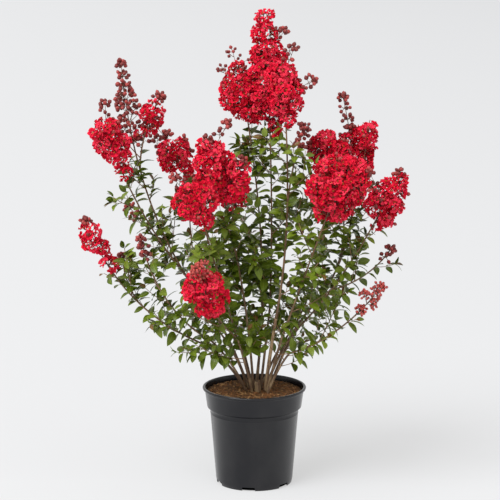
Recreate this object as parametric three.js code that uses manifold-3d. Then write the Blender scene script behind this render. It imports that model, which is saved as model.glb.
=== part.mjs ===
// A crape myrtle in a nursery pot: a black pot filled with bark potting mix, a clump of bare woody canes
// that fan out from one root, glossy leaves in opposite pairs, and cone-shaped red flower heads (panicles)
// at the canes' tips. Millimetres, +Z up, the front towards -Y. The origin is the middle of the pot's flat
// underside. Each cane carries one mass of foliage, which keeps to its own space round the cane's line.

import * as THREE from "three";
import { mergeVertices } from "three/addons/utils/BufferGeometryUtils.js";
import Module from "manifold-3d";

const wasm = await Module();
wasm.setup();

// ---------------------------------------------------------------- driving dimensions

const GAP = 0.3; // clearance between neighbouring pieces that rest against each other

const POT = {
  height: 250,
  rim: 132, // outer radius of the rolled lip
  lip: 6, // height of the lip's roll
  collar: { top: 126.2, bottom: 120.4, low: 199 }, // the wide band under the lip
  body: { top: 113, bottom: 98, foot: 96 }, // the tapering wall under the collar
  ledge: 5, // height of the step between body and collar
  wall: 2.4,
  dish: 86, // radius of the flat disc that the pot stands on
  channel: 10, // height of the drain channel round the disc
  drains: 6,
  drainWidth: 33,
  drainHeight: 9,
  drainDepth: 16,
  drainTurn: -9, // degrees from the front to the nearest drain
  sides: 28,
};

// The top of the potting mix: it rises in a short slope from the wall, then gently to its crown.
const MIX = { edge: 238.5, crown: 244, crownRadius: 62, slope: 18, slopeRise: 1.5, sides: 28 };
const STUMP = { at: [9, -27], radius: [8.5, 7], height: 25, lean: [-2, -4], sides: 8 };

const CANE = { sides: 6, steps: 4, flare: 1.35, flareHeight: 0.06, sunk: 14 };
const LEADER_BEND = 0.42; // how far along its length a leader keeps its parent's heading
const TWIG = { sides: 3, radius: 2.6, tip: 1.9 };
const LEAF = { length: 66, width: 36, thickness: 3, root: 0.2, belly: 0.45, droop: 9, face: 0.9 };
const PAIRS = { leader: 114, shoot: 66 }; // spacing of the leaf pairs
const SHOOT = { spacing: 176, length: 144, slant: 52, rise: 0.28 };
const HEAD = { pitch: 58, blossom: 21, cover: 1.2, spacing: 84, bud: 7, sunk: 2.2, sides: 6, alone: 100 };
const GOLDEN = 137.5; // degrees between one side shoot and the next
const CLAIM_STEP = 14; // spacing of the points that mark a mass's own space

// Every cane: where it leaves the mix (foot), where it enters its foliage (fork), how far its middle
// bows off the straight line, its radius at both ends, and its leaders. The first leader runs on from
// the fork to its tip, and the others leave it at a share of its length (off). A leader's last stretch
// carries a flower head, given by its length, the radius at its belly, the belly's place from 0 at the
// bottom to 1 at the tip, its roundness (1 for a ball, 0 for a cone, less for a hollow cone) and the
// share in open flower, from the bottom up. A head as long as HEAD.alone is a mass of its own.
const CANES = {
  far_left: {
    foot: [-24, -4], fork: [-125, -10, 360], bow: [10, 0, 18], radius: [4.0, 3.0],
    leaders: [
      { tip: [-426, -30, 695], bend: [-62, -8, -10], head: [138, 34, 0.4, 0.5, 0.75] },
      { off: 0.4, tip: [-337, 50, 585], head: [40, 14, 0.5, 0, 0] },
    ],
  },
  left_low: {
    foot: [-21, -20], fork: [-108, -46, 378], bow: [10, 0, 14], radius: [3.6, 2.8],
    leaders: [{ tip: [-281, -140, 663], bend: [-30, 0, -20], head: [58, 18, 0.4, 0, 0] }],
  },
  left_tall: {
    foot: [-16, 10], fork: [-103, 0, 440], bow: [10, 0, 10], radius: [4.6, 3.3],
    leaders: [
      { tip: [-335, 60, 1078], bend: [-50, -6, 0], head: [215, 48, 0.35, 0.1, 0.05] },
      { off: 0.2, tip: [-376, -90, 950], bend: [-26, -14, -12], head: [152, 48, 0.55, 1, 1] },
      { off: 0.62, tip: [-230, 28, 1000], bend: [18, 0, 0], head: [112, 34, 0.45, 0.5, 0.75] },
      { off: 0.12, tip: [-326, 100, 702], head: [48, 14, 0.5, 0, 0] },
    ],
  },
  left_back: {
    foot: [-6, 28], fork: [-62, 66, 440], bow: [6, 2, 4], radius: [4.0, 3.0],
    leaders: [{ tip: [-229, 160, 880], bend: [20, 4, 6], head: [110, 45, 0.4, 0.6, 0.85] }],
  },
  front_left: {
    foot: [-6, -36], fork: [-38, -88, 380], bow: [3, -4, 0], radius: [3.8, 2.9],
    leaders: [
      { tip: [-151, -225, 810], head: [104, 52, 0.45, 0.9, 1] },
      { off: 0.05, tip: [-137, -285, 623], bend: [-34, -70, -48], head: [158, 57, 0.38, 0.4, 0.65] },
    ],
  },
  inner_left: {
    foot: [-2, -8], fork: [-20, -28, 440], bow: [3, 4, 0], radius: [4.1, 3.0],
    leaders: [
      { tip: [-116, -100, 900], head: [150, 57, 0.4, 0.5, 0.92] },
      { off: 0.4, tip: [-31, -150, 852], head: [95, 34, 0.45, 0.5, 0.95] },
    ],
  },
  middle_left: {
    foot: [6, 12], fork: [20, 28, 440], bow: [2, 0, 0], radius: [4.2, 3.1],
    leaders: [{ tip: [-44, 36, 1082], bend: [-6, 0, 0], head: [160, 56, 0.4, 0.6, 1] }],
  },
  middle: {
    foot: [16, -3], fork: [38, 2, 440], bow: [0, 0, 0], radius: [4.2, 3.1],
    leaders: [{ tip: [22, 6, 1207], bend: [-20, 0, 0], head: [285, 54, 0.32, 0.7, 1] }],
  },
  middle_front: {
    foot: [28, -15], fork: [54, -58, 440], bow: [-2, -2, 0], radius: [5.8, 4.2],
    leaders: [
      { tip: [66, -38, 1084], bend: [8, -6, 0], head: [126, 50, 0.42, 0.8, 1] },
      { off: 0.46, tip: [124, -70, 932], head: [60, 20, 0.4, 0, 0] },
    ],
  },
  right_front: {
    foot: [33, -31], fork: [74, -66, 405], bow: [-3, 3, 6], radius: [4.2, 3.1],
    leaders: [{ tip: [230, -138, 861], bend: [0, -20, 0], head: [146, 74, 0.45, 0.9, 1] }],
  },
  far_right: {
    foot: [40, 1], fork: [112, 8, 400], bow: [-10, 0, 10], radius: [4.4, 3.2],
    leaders: [
      { tip: [368, 30, 800], bend: [30, 0, -20], head: [142, 48, 0.4, 0.6, 0.9] },
      { off: 0.3, tip: [356, 110, 590], bend: [44, 12, -50], head: [46, 14, 0.5, 0, 0] },
    ],
  },
  right_low: {
    foot: [34, -47], fork: [88, -54, 348], bow: [-5, 0, 12], radius: [3.7, 2.9],
    leaders: [{ tip: [321, -80, 533], bend: [60, -20, -48], head: [101, 32, 0.45, 0.5, 0.05] }],
  },
  right_back: {
    foot: [30, 20], fork: [146, 66, 440], bow: [-16, 0, 14], radius: [4.4, 3.2],
    leaders: [
      { tip: [222, 100, 990], bend: [14, -6, 4], head: [215, 58, 0.3, -0.4, 0.6] },
      { off: 0.25, tip: [290, 40, 928], bend: [-16, -16, 6], head: [112, 33, 0.6, 0.8, 1] },
      { off: 0.2, tip: [168, 12, 902], bend: [-10, -10, 0], head: [112, 50, 0.5, 0.8, 1] },
    ],
  },
  back: {
    foot: [5, 48], fork: [18, 118, 350], bow: [0, -8, 10], radius: [4.0, 3.0],
    leaders: [{ tip: [-100, 325, 785], bend: [0, 10, 0], head: [125, 46, 0.35, 0.4, 0.8] }],
  },
  back_left: {
    foot: [-17, 38], fork: [-78, 106, 350], bow: [6, -6, 10], radius: [3.9, 3.0],
    leaders: [{ tip: [-172, 305, 758], bend: [0, 10, -10], head: [125, 45, 0.35, 0.5, 0.85] }],
  },
  back_right: {
    foot: [22, 47], fork: [84, 116, 350], bow: [-6, -6, 10], radius: [3.9, 3.0],
    leaders: [{ tip: [200, 285, 782], bend: [0, 10, -10], head: [125, 46, 0.35, 0.4, 0.8] }],
  },
};

// Leafy sprays low on a cane: the cane, the share of its length, the heading in degrees from +X,
// the rise above level and the length.
const LOW_SPRAYS = {
  low_left: { cane: "left_low", at: 0.7, heading: 225, rise: 0, length: 130 },
  low_front_left: { cane: "front_left", at: 0.7, heading: 205, rise: 5, length: 130 },
  low_front: { cane: "inner_left", at: 0.5, heading: 268, rise: 20, length: 130 },
  low_front_right: { cane: "right_front", at: 0.6, heading: 336, rise: 8, length: 140 },
  low_right: { cane: "far_right", at: 0.7, heading: 35, rise: 0, length: 150 },
};

const COLOUR = {
  pot: 0x2b2c2e, mix: 0x5a3823, bark: 0x6b5238, leaf: 0x35521f, flower: 0xc4122f,
};

// ---------------------------------------------------------------- solids

const UP = new THREE.Vector3(0, 0, 1);
const RIGHT = new THREE.Vector3(1, 0, 0);
const point = (at) => new THREE.Vector3(...at);
const radians = THREE.MathUtils.degToRad;

// A closed geometry as a solid that can be joined and cut.
function solidOf(geometry) {
  geometry.deleteAttribute("normal");
  geometry.deleteAttribute("uv");
  const merged = mergeVertices(geometry, 1e-4);
  const triVerts = new Uint32Array(merged.index.array);
  const vertProperties = new Float32Array(merged.attributes.position.array);
  return new wasm.Manifold(new wasm.Mesh({ numProp: 3, vertProperties, triVerts }));
}

function geometryOf(solid) {
  const { vertProperties, triVerts } = solid.getMesh();
  const geometry = new THREE.BufferGeometry()
    .setAttribute("position", new THREE.BufferAttribute(vertProperties, 3))
    .setIndex(new THREE.BufferAttribute(triVerts, 1));
  geometry.computeVertexNormals();
  return geometry;
}

// One solid from many, joined two by two.
function join(solids) {
  let left = solids;
  while (left.length > 1) {
    const pairs = [];
    for (let i = 0; i < left.length; i += 2) {
      pairs.push(i + 1 < left.length ? left[i].add(left[i + 1]) : left[i]);
    }
    left = pairs;
  }
  return left[0];
}

// The largest body's outer shell: loose scraps are dropped and sealed hollows filled.
function largestBody(solid) {
  return solid.decompose().reduce((best, body) => (body.volume() > best.volume() ? body : best));
}

// Moves every vertex of a geometry by a rule.
function shape(geometry, rule) {
  const position = geometry.attributes.position;
  const vertex = new THREE.Vector3();
  for (let i = 0; i < position.count; i++) {
    vertex.fromBufferAttribute(position, i);
    const moved = rule(vertex);
    position.setXYZ(i, moved.x, moved.y, moved.z);
  }
  return geometry;
}

// A tapering rod along a curve. Its radius follows a rule of the share of the way along.
function rod(curve, radiusAt, sides, steps) {
  const chord = curve.getPoint(1).sub(curve.getPoint(0)).normalize();
  const reference = Math.abs(chord.z) < 0.8 ? UP : RIGHT;
  return solidOf(shape(new THREE.CylinderGeometry(1, 1, 1, sides, steps), (vertex) => {
    const share = THREE.MathUtils.clamp(vertex.y + 0.5, 0, 1);
    const along = curve.getTangent(share);
    const across = new THREE.Vector3().crossVectors(along, reference).normalize();
    const other = new THREE.Vector3().crossVectors(across, along);
    const radius = radiusAt(share);
    return curve.getPoint(share)
      .addScaledVector(across, vertex.x * radius)
      .addScaledVector(other, vertex.z * radius);
  }));
}

const taper = (from, to) => (share) => THREE.MathUtils.lerp(from, to, share);

// A direction that leaves `along` at an angle, turned round it.
function splay(along, turn, angle) {
  const side = UP.clone().cross(along);
  if (side.length() < 0.2) side.copy(RIGHT).addScaledVector(along, -along.x);
  side.normalize().applyAxisAngle(along, radians(turn));
  return along.clone().multiplyScalar(Math.cos(radians(angle)))
    .addScaledVector(side, Math.sin(radians(angle))).normalize();
}

// A small generator of random shares, the same on every run.
function seeded(seed) {
  let state = (seed * 2654435761) >>> 0;
  return () => {
    state = (Math.imul(state, 1664525) + 1013904223) >>> 0;
    return state / 4294967296;
  };
}

// ---------------------------------------------------------------- leaf, bud and blossom

// A drooping blade of six faces: four from its edge to the raised midrib, over a folded underside. It
// turns its upper face up and away from the middle of the plant.
function leaf(at, along, length) {
  const outward = new THREE.Vector3(at.x, at.y, 0).normalize();
  const normal = UP.clone().addScaledVector(outward, LEAF.face);
  normal.addScaledVector(along, -normal.dot(along)).normalize();
  const across = new THREE.Vector3().crossVectors(normal, along);
  const scale = length / LEAF.length;
  const { width, thickness, droop, root, belly } = LEAF;
  const corner = (reach, side, height) => at.clone()
    .addScaledVector(along, root + reach * length)
    .addScaledVector(across, side * scale)
    .addScaledVector(normal, height * scale);
  const [stalk, left, tip, right, rib] = [0, 1, 2, 3, 4];
  const blade = new THREE.BufferGeometry().setFromPoints([
    corner(0, 0, 0), corner(belly, -width / 2, 0), corner(1, 0, -droop),
    corner(belly, width / 2, 0), corner(belly, 0, thickness),
  ]);
  return solidOf(blade.setIndex([
    ...[stalk, left, rib], ...[left, tip, rib], ...[tip, right, rib], ...[right, stalk, rib],
    ...[stalk, tip, left], ...[stalk, right, tip],
  ]));
}

// A flower, as a ball of eight faces turned at random.
function blossom(at, radius, random) {
  const ball = new THREE.OctahedronGeometry(radius);
  ball.rotateX(random() * Math.PI).rotateY(random() * Math.PI).rotateZ(random() * Math.PI);
  return solidOf(ball.translate(at.x, at.y, at.z));
}

// A spray of closed buds, as a spindle that is thickest near its outer end.
function budSpray(from, along, length) {
  const turn = new THREE.Quaternion().setFromUnitVectors(UP, along);
  return solidOf(shape(new THREE.OctahedronGeometry(1), (vertex) => {
    const reach = vertex.z === 0 ? 0.72 : (vertex.z + 1) / 2;
    return new THREE.Vector3(vertex.x * HEAD.bud, vertex.y * HEAD.bud, reach * length)
      .applyQuaternion(turn).add(from);
  }));
}

const bud = (at) => solidOf(new THREE.OctahedronGeometry(HEAD.bud).translate(at.x, at.y, at.z));

// ---------------------------------------------------------------- lines of growth

// The cane's own line, from the mix to the fork.
function caneLine({ foot, fork, bow }) {
  const from = point([...foot, MIX.crown + GAP]);
  const to = point(fork);
  const control = from.clone().lerp(to, 0.5).add(point(bow));
  return new THREE.QuadraticBezierCurve3(from, control, to);
}

// A leader runs on in its parent's heading, then bends to its tip.
function leaderLine(from, heading, { tip, bend = [0, 0, 0] }) {
  const to = point(tip);
  const reach = LEADER_BEND * from.distanceTo(to);
  const control = from.clone().addScaledVector(heading, reach).add(point(bend));
  return new THREE.QuadraticBezierCurve3(from, control, to);
}

// The gap between a cane's flat end and a leader's foot that is tilted by the leader's bend.
function forkGap({ radius, fork, leaders: [{ tip, bend = [0, 0, 0] }] }) {
  const reach = LEADER_BEND * point(fork).distanceTo(point(tip));
  return GAP + (radius[1] * point(bend).length()) / reach;
}

// A side shoot or low spray starts along its heading and curves upwards.
function shootLine(from, heading, length) {
  const control = from.clone().addScaledVector(heading, length * 0.5);
  const tip = from.clone().addScaledVector(heading, length);
  tip.z += SHOOT.rise * length;
  return new THREE.QuadraticBezierCurve3(from, control, tip);
}

function lengthOf(curve) {
  const middle = curve.getPoint(0.5);
  return curve.getPoint(0).distanceTo(middle) + middle.distanceTo(curve.getPoint(1));
}

// The stretch of a quadratic curve between two shares of it.
function partOf(curve, from, to) {
  const { v0, v1, v2 } = curve;
  const slope = v1.clone().sub(v0).multiplyScalar(1 - from).addScaledVector(v2.clone().sub(v1), from);
  const control = curve.getPoint(from).addScaledVector(slope, to - from);
  return new THREE.QuadraticBezierCurve3(curve.getPoint(from), control, curve.getPoint(to));
}

// Where the shoots of a leader leave it, evenly spaced, and how long they are.
function shootPlan(stem) {
  const count = Math.max(1, Math.round(lengthOf(stem) / SHOOT.spacing));
  return Array.from({ length: count }, (_, i) => {
    const share = (i + 0.42) / count;
    return { share, length: SHOOT.length * (1 - 0.5 * share) * (0.85 + 0.15 * Math.cos(2.4 * i)) };
  });
}

// ---------------------------------------------------------------- who owns which space

const spaces = new Map(); // the points along each mass's twigs, by the mass's name
const placed = []; // every accepted piece with its box and owner

function claim(owner, curve) {
  const count = Math.ceil(lengthOf(curve) / CLAIM_STEP);
  spaces.set(owner, (spaces.get(owner) ?? []).concat(curve.getPoints(count)));
}

function distanceTo(owner, at) {
  return Math.sqrt(Math.min(...spaces.get(owner).map((own) => own.distanceToSquared(at))));
}

// A point is in a mass's space if that mass's twigs are the nearest ones.
function inOwnSpace(owner, at) {
  const own = distanceTo(owner, at);
  return [...spaces.keys()].every((other) => other === owner || distanceTo(other, at) > own + GAP);
}

function boxOf(solid) {
  const { min, max } = solid.boundingBox();
  return new THREE.Box3(point(min), point(max));
}

// A piece fits if the points stay in its owner's space and it touches nothing but its owner's wood.
function fits(solid, owner, points) {
  if (!points.every((at) => inOwnSpace(owner, at))) return false;
  const box = boxOf(solid).expandByScalar(GAP);
  return placed.every((other) => (other.owner === owner && other.wood) || !other.box.intersectsBox(box)
    || solid.intersect(other.solid).isEmpty());
}

function place(solid, owner, wood = false) {
  placed.push({ solid, owner, wood, box: boxOf(solid) });
  return solid;
}

// ---------------------------------------------------------------- leaves and flower heads

// A pair of opposite leaves. One that doesn't fit is tried turned to either side, then left out.
function leafPair(stem, share, turn, random, owner) {
  const at = stem.getPoint(share);
  const pieces = [];
  for (const side of [0, 180]) {
    const length = LEAF.length * (0.8 + 0.3 * random());
    const lean = 58 + 16 * random();
    for (const nudge of [0, 40, -40]) {
      const along = splay(stem.getTangent(share), turn + side + nudge, lean);
      const blade = leaf(at, along, length);
      if (fits(blade, owner, [at.clone().addScaledVector(along, length * 0.6)])) {
        pieces.push(place(blade, owner));
        break;
      }
    }
  }
  return pieces;
}

// Leaf pairs up to the tip of a stem, each turned a quarter round from the last.
function leafPairs(stem, spacing, owner, random) {
  const count = pairCount(stem, spacing);
  const turn = random() * 90;
  return Array.from({ length: count }, (_, i) => (
    leafPair(stem, Math.min((i + 1) / count, 0.98), turn + 90 * i, random, owner)
  )).flat();
}

const pairCount = (stem, spacing) => Math.max(1, Math.round(lengthOf(stem) / spacing));

// A leafy stem has a joint at each leaf pair, and is straight between its joints.
function leafyWood(stem, from, to, spacing) {
  return rod(stem, taper(from, to), TWIG.sides, pairCount(stem, spacing));
}

function onWood(stem, share, spacing) {
  const count = pairCount(stem, spacing);
  const joint = Math.min(Math.floor(share * count), count - 1);
  return stem.getPoint(joint / count).lerp(stem.getPoint((joint + 1) / count), share * count - joint);
}

// How far a head's branches reach, at a height from 0 at the bottom to 1 at the tip.
function headProfile(height, belly, round) {
  if (height < belly) return 0.22 + 0.78 * Math.sin(((height / belly) * Math.PI) / 2) ** 0.9;
  const rest = (height - belly) / (1 - belly);
  return 1 - rest + round * (Math.sqrt(1 - rest ** 2) - (1 - rest));
}

// The dense middle of a flower head, at a height from 0 to 1: its stem alone where it isn't in flower.
function coreRadius(height, [radius, belly, round, open]) {
  const flowering = height > 0 && height < open;
  const core = flowering ? radius * headProfile(height, belly, round) - HEAD.cover * HEAD.blossom : 0;
  return Math.max(core, THREE.MathUtils.lerp(TWIG.radius, TWIG.tip, height));
}

// A flower head: rings of flowers sunk in its middle low down, and buds on branches in threes above.
function flowerHead(stem, form, owner, random) {
  const [radius, belly, round, open] = form;
  const levels = headLevels(stem);
  const pieces = [];
  for (let level = 0; level < levels; level++) {
    const height = (level + 0.5) / levels;
    const core = (coreRadius(level / levels, form) + coreRadius((level + 1) / levels, form)) / 2;
    const flowering = height < open;
    const girth = 2 * Math.PI * (core + HEAD.blossom);
    const count = flowering ? Math.max(3, Math.round(girth / HEAD.spacing)) : 3;
    for (let i = 0; i < count; i++) {
      const turn = level * 70 + (360 / count) * i + 30 * random();
      const size = HEAD.blossom * (0.9 + 0.25 * random());
      const from = stem.getPoint(height);
      if (flowering) {
        const sideways = splay(stem.getTangent(height), turn, 88);
        const flower = blossom(from.addScaledVector(sideways, 0.88 * core + 0.45 * size), size, random);
        if (fits(flower, owner, [])) pieces.push(place(flower, owner));
        continue;
      }
      const heading = splay(stem.getTangent(height), turn, 72 - 30 * height);
      const reach = Math.max(20, radius * headProfile(height, belly, round)) * (0.9 + 0.3 * random());
      const spray = budSpray(from, heading, reach);
      if (fits(spray, owner, [from.addScaledVector(heading, reach)])) pieces.push(place(spray, owner));
    }
  }
  const tip = stem.getPoint(1);
  const top = open > 0.8 ? blossom(tip, HEAD.blossom * 0.8, random) : bud(tip);
  return fits(top, owner, []) ? [...pieces, place(top, owner)] : pieces;
}

const headLevels = (stem) => Math.max(2, Math.round(lengthOf(stem) / HEAD.pitch));

// A flower head's stem and dense middle.
function headCore(stem, form) {
  return rod(stem, (share) => coreRadius(share, form), HEAD.sides, headLevels(stem));
}

// ---------------------------------------------------------------- pot, mix and stump

// The pot as one lathed wall: underside, outer wall, collar, lip and back down the inside.
function pot() {
  const { height, rim, lip, collar, body, ledge, wall, dish, channel } = POT;
  const step = collar.low - ledge;
  const profile = [
    [0, 0], [dish, 0], [dish + 4, channel - 0.5], [body.foot - 3.4, channel - 0.5], [body.foot - 2.2, 0],
    [body.foot, 0], [body.bottom, channel], [body.top, step], [collar.bottom, collar.low],
    [collar.top, height - lip - 3], [rim - 2.4, height - lip], [rim, height - lip * 0.62],
    [rim, height - lip * 0.3], [rim - 2, height], [rim - 5.5, height], [rim - 7, height - 2.2],
    ...potInside().reverse(), [0, wall],
  ];
  return drained(turned(profile, POT.sides));
}

// A profile of radius and height, turned round the upright axis.
function turned(profile, sides) {
  const points = profile.map(([r, z]) => new THREE.Vector2(r, z));
  return solidOf(new THREE.LatheGeometry(points, sides).rotateX(Math.PI / 2));
}

// The inner wall from the floor to the lip, as radius and height.
function potInside() {
  const { height, lip, collar, body, ledge, wall, dish, channel } = POT;
  return [
    [dish - 1, wall], [dish + 3, channel + wall], [body.bottom - wall, channel + wall],
    [body.top - wall, collar.low - ledge], [collar.bottom - wall, collar.low],
    [collar.top - wall, height - lip - 3],
  ];
}

// Cuts the drain notches through the foot of the wall.
function drained(wall) {
  const { drains, drainWidth, drainHeight, drainDepth, drainTurn, body } = POT;
  let solid = wall;
  for (let i = 0; i < drains; i++) {
    const notch = new THREE.BoxGeometry(drainWidth, drainDepth, drainHeight * 2);
    notch.translate(0, -body.bottom, 0);
    notch.rotateZ(radians(drainTurn + (360 / drains) * i));
    solid = solid.subtract(solidOf(notch));
  }
  return solid;
}

// The potting mix fills the pot, just clear of its wall, with a low crown round the canes.
function pottingMix() {
  const { edge, crown, crownRadius, slope, slopeRise, sides } = MIX;
  const wall = potInside().map(([r, z], i) => [r - GAP, i < 3 ? z + GAP : z]);
  const [lowR, lowZ] = wall[4];
  const [highR, highZ] = wall[5];
  const edgeR = lowR + ((highR - lowR) * (edge - lowZ)) / (highZ - lowZ);
  const profile = [
    [0, POT.wall + GAP], ...wall.slice(0, 5), [edgeR, edge], [edgeR - slope, edge + slopeRise],
    [crownRadius, crown], [0, crown],
  ];
  return turned(profile, sides);
}

// A sawn-off old cane that still stands in the middle of the clump.
function stump() {
  const from = point([...STUMP.at, MIX.crown + GAP]);
  const to = from.clone().add(point([...STUMP.lean, STUMP.height]));
  return onMix(rod(new THREE.LineCurve3(from, to), taper(...STUMP.radius), STUMP.sides, 2));
}

// Cuts a limb flat where it meets the mix.
function onMix(solid) {
  const block = new THREE.BoxGeometry(400, 400, 40);
  block.translate(0, 0, MIX.crown + GAP - 20);
  return solid.subtract(solidOf(block));
}

// ---------------------------------------------------------------- the plant

// A cane from a flat cut on the mix to its fork, flared at the foot.
function cane(line, [low, high]) {
  const down = line.getPoint(0).addScaledVector(line.getTangent(0), -CANE.sunk);
  const sunk = new THREE.QuadraticBezierCurve3(down, line.v1, line.v2);
  return onMix(rod(sunk, (share) => {
    const flare = 1 + (CANE.flare - 1) * Math.exp(-share / CANE.flareHeight);
    return THREE.MathUtils.lerp(low, high, share) * flare;
  }, CANE.sides, CANE.steps));
}

const plant = new THREE.Group();

function addNode(name, solid, colour, roughness) {
  const material = new THREE.MeshStandardMaterial({ color: colour, roughness, metalness: 0 });
  const mesh = new THREE.Mesh(geometryOf(largestBody(solid)), material);
  mesh.name = name;
  plant.add(mesh);
}

// A leader's leafy stretch, and its flower head's stem: a gap above it where the head stands alone,
// else sunk in it.
const leafyPart = ({ curve, share }) => partOf(curve, 0, share);
const headPart = ({ curve, share, alone }) => (
  partOf(curve, share + (alone ? GAP : -HEAD.sunk) / lengthOf(curve), 1)
);

// Every cane's line, and every leader's with the share of its length where its flower head starts.
const growth = Object.entries(CANES).map(([name, spec]) => {
  const stem = caneLine(spec);
  const heads = spec.leaders.filter(({ head }) => head[0] >= HEAD.alone).length;
  const leaders = [];
  spec.leaders.forEach((leader, i) => {
    const parent = i === 0 ? stem : leaders[0].curve;
    const heading = parent.getTangent(i === 0 ? 1 : leader.off);
    const from = i === 0
      ? stem.getPoint(1).addScaledVector(heading, forkGap(spec))
      : onWood(leafyPart(leaders[0]), leader.off / leaders[0].share, PAIRS.leader);
    const curve = leaderLine(from, heading, leader);
    const [length, ...form] = leader.head;
    const alone = length >= HEAD.alone;
    const owner = alone ? `panicle_${name}${heads > 1 ? `_${i + 1}` : ""}` : `foliage_${name}`;
    leaders.push({ curve, form, owner, alone, share: 1 - length / lengthOf(curve) });
  });
  return { name, spec, stem, leaders, mass: `foliage_${name}` };
});

const sprays = Object.entries(LOW_SPRAYS).map(([name, { cane: on, at, heading, rise, length }]) => {
  const { stem, spec } = growth.find((grown) => grown.name === on);
  const sleeve = cane(stem, spec.radius.map((radius) => radius + 2 * GAP));
  const direction = new THREE.Vector3().setFromSphericalCoords(1, radians(90 - rise), radians(heading));
  const along = new THREE.Vector3(direction.z, direction.x, direction.y);
  return { mass: `foliage_${name}`, curve: shootLine(stem.getPoint(at), along, length), sleeve };
});

addNode("pot", pot(), COLOUR.pot, 0.55);
addNode("potting_mix", pottingMix(), COLOUR.mix, 0.95);
addNode("old_stump", place(stump(), "old_stump"), COLOUR.bark, 0.8);
for (const { name, spec, stem } of growth) {
  addNode(`cane_${name}`, place(cane(stem, spec.radius), `cane_${name}`), COLOUR.bark, 0.8);
}

// The leaders and the stems of heads and sprays come first, so that all of them claim their space.
const masses = new Map();
const add = (owner, pieces) => masses.set(owner, [...(masses.get(owner) ?? []), ...pieces]);

for (const { spec, leaders, mass } of growth) {
  leaders.forEach((leader, i) => {
    const wood = leafyPart(leader);
    claim(mass, wood);
    claim(leader.owner, headPart(leader));
    const thick = spec.radius[1] * (i === 0 ? 1 : 0.7);
    add(mass, [place(leafyWood(wood, thick, TWIG.radius, PAIRS.leader), mass, true)]);
    add(leader.owner, [place(headCore(headPart(leader), leader.form), leader.owner, true)]);
  });
}
for (const { mass, curve, sleeve } of sprays) {
  claim(mass, curve);
  const wood = leafyWood(curve, TWIG.radius, TWIG.tip, PAIRS.shoot);
  add(mass, [place(largestBody(wood.subtract(sleeve)), mass, true)]);
}

growth.forEach(({ leaders }, index) => leaders.forEach((leader, i) => {
  add(leader.owner, flowerHead(headPart(leader), leader.form, leader.owner, seeded(100 * index + i + 1)));
}));

// Side shoots, each turned by the golden angle, or further if it would leave its mass's space.
const leafyTwigs = [];
function growShoots(mass, stem, turn) {
  shootPlan(stem).forEach(({ share, length }, i) => {
    for (const further of [0, 120, 240]) {
      const heading = splay(stem.getTangent(share), turn + i * GOLDEN + further, SHOOT.slant);
      const curve = shootLine(onWood(stem, share, PAIRS.leader), heading, length);
      const wood = leafyWood(curve, TWIG.radius, TWIG.tip, PAIRS.shoot);
      if (!fits(wood, mass, [0.4, 0.7, 1].map((along) => curve.getPoint(along)))) continue;
      claim(mass, curve);
      add(mass, [place(wood, mass, true)]);
      leafyTwigs.push({ mass, curve });
      break;
    }
  });
}
growth.forEach(({ leaders, mass }, index) => leaders.forEach((leader, i) => {
  growShoots(mass, leafyPart(leader), 50 * i + 35 * index);
}));

// Last come the leaves, on shoots, leaders and low sprays.
leafyTwigs.forEach(({ mass, curve }, index) => {
  add(mass, leafPairs(curve, PAIRS.shoot, mass, seeded(5000 + index)));
});
growth.forEach(({ leaders, mass }, index) => leaders.forEach((leader, i) => {
  add(mass, leafPairs(leafyPart(leader), PAIRS.leader, mass, seeded(7000 + 100 * index + i)));
}));
sprays.forEach(({ mass, curve }, index) => {
  add(mass, leafPairs(curve, PAIRS.shoot, mass, seeded(9000 + index)));
});

for (const [name, pieces] of masses) {
  const flowers = name.startsWith("panicle");
  addNode(name, join(pieces), flowers ? COLOUR.flower : COLOUR.leaf, flowers ? 0.7 : 0.5);
}

export default plant;
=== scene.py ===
# A crape myrtle in a nursery pot, in full flower. Bark, twigs, leaves, buds and crinkled petals grow from the
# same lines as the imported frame, carried on to finer twigs. The tables of the pot and the canes are in
# millimetres and degrees, the meshes in metres. +Z is up and the front faces -Y.

import math
import random
from collections import namedtuple

import bmesh
import bpy
import numpy as np
from bpy.props import FloatProperty, FloatVectorProperty, IntProperty, PointerProperty
from mathutils import Matrix, Quaternion, Vector, noise


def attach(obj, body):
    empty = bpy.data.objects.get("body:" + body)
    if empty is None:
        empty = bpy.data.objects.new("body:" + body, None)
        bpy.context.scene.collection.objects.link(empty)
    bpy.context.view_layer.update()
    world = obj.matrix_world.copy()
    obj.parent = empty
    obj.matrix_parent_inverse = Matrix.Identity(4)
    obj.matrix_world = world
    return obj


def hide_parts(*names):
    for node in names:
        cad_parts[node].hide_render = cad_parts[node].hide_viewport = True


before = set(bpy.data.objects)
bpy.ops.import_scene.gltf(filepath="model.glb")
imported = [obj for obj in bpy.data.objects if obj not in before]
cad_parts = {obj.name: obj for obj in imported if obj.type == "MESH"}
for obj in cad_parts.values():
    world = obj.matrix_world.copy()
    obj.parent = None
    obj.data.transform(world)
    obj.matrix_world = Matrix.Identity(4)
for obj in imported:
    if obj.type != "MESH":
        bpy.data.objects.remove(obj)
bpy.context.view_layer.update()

bl_info = {
    "name": "Potted crape myrtle",
    "version": (1, 0, 0),
    "blender": (4, 5, 0),
    "location": "View3D > Sidebar > Crape myrtle",
    "description": "Builds a potted crape myrtle with bark, leaves, buds and crinkled flowers",
    "category": "Add Mesh",
}

MM = 0.001
UP = Vector((0, 0, 1))
RIGHT = Vector((1, 0, 0))
GOLDEN = 137.5  # degrees round a stem between one branch and the next

# ---------------------------------------------------------------- driving dimensions, in millimetres

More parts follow.
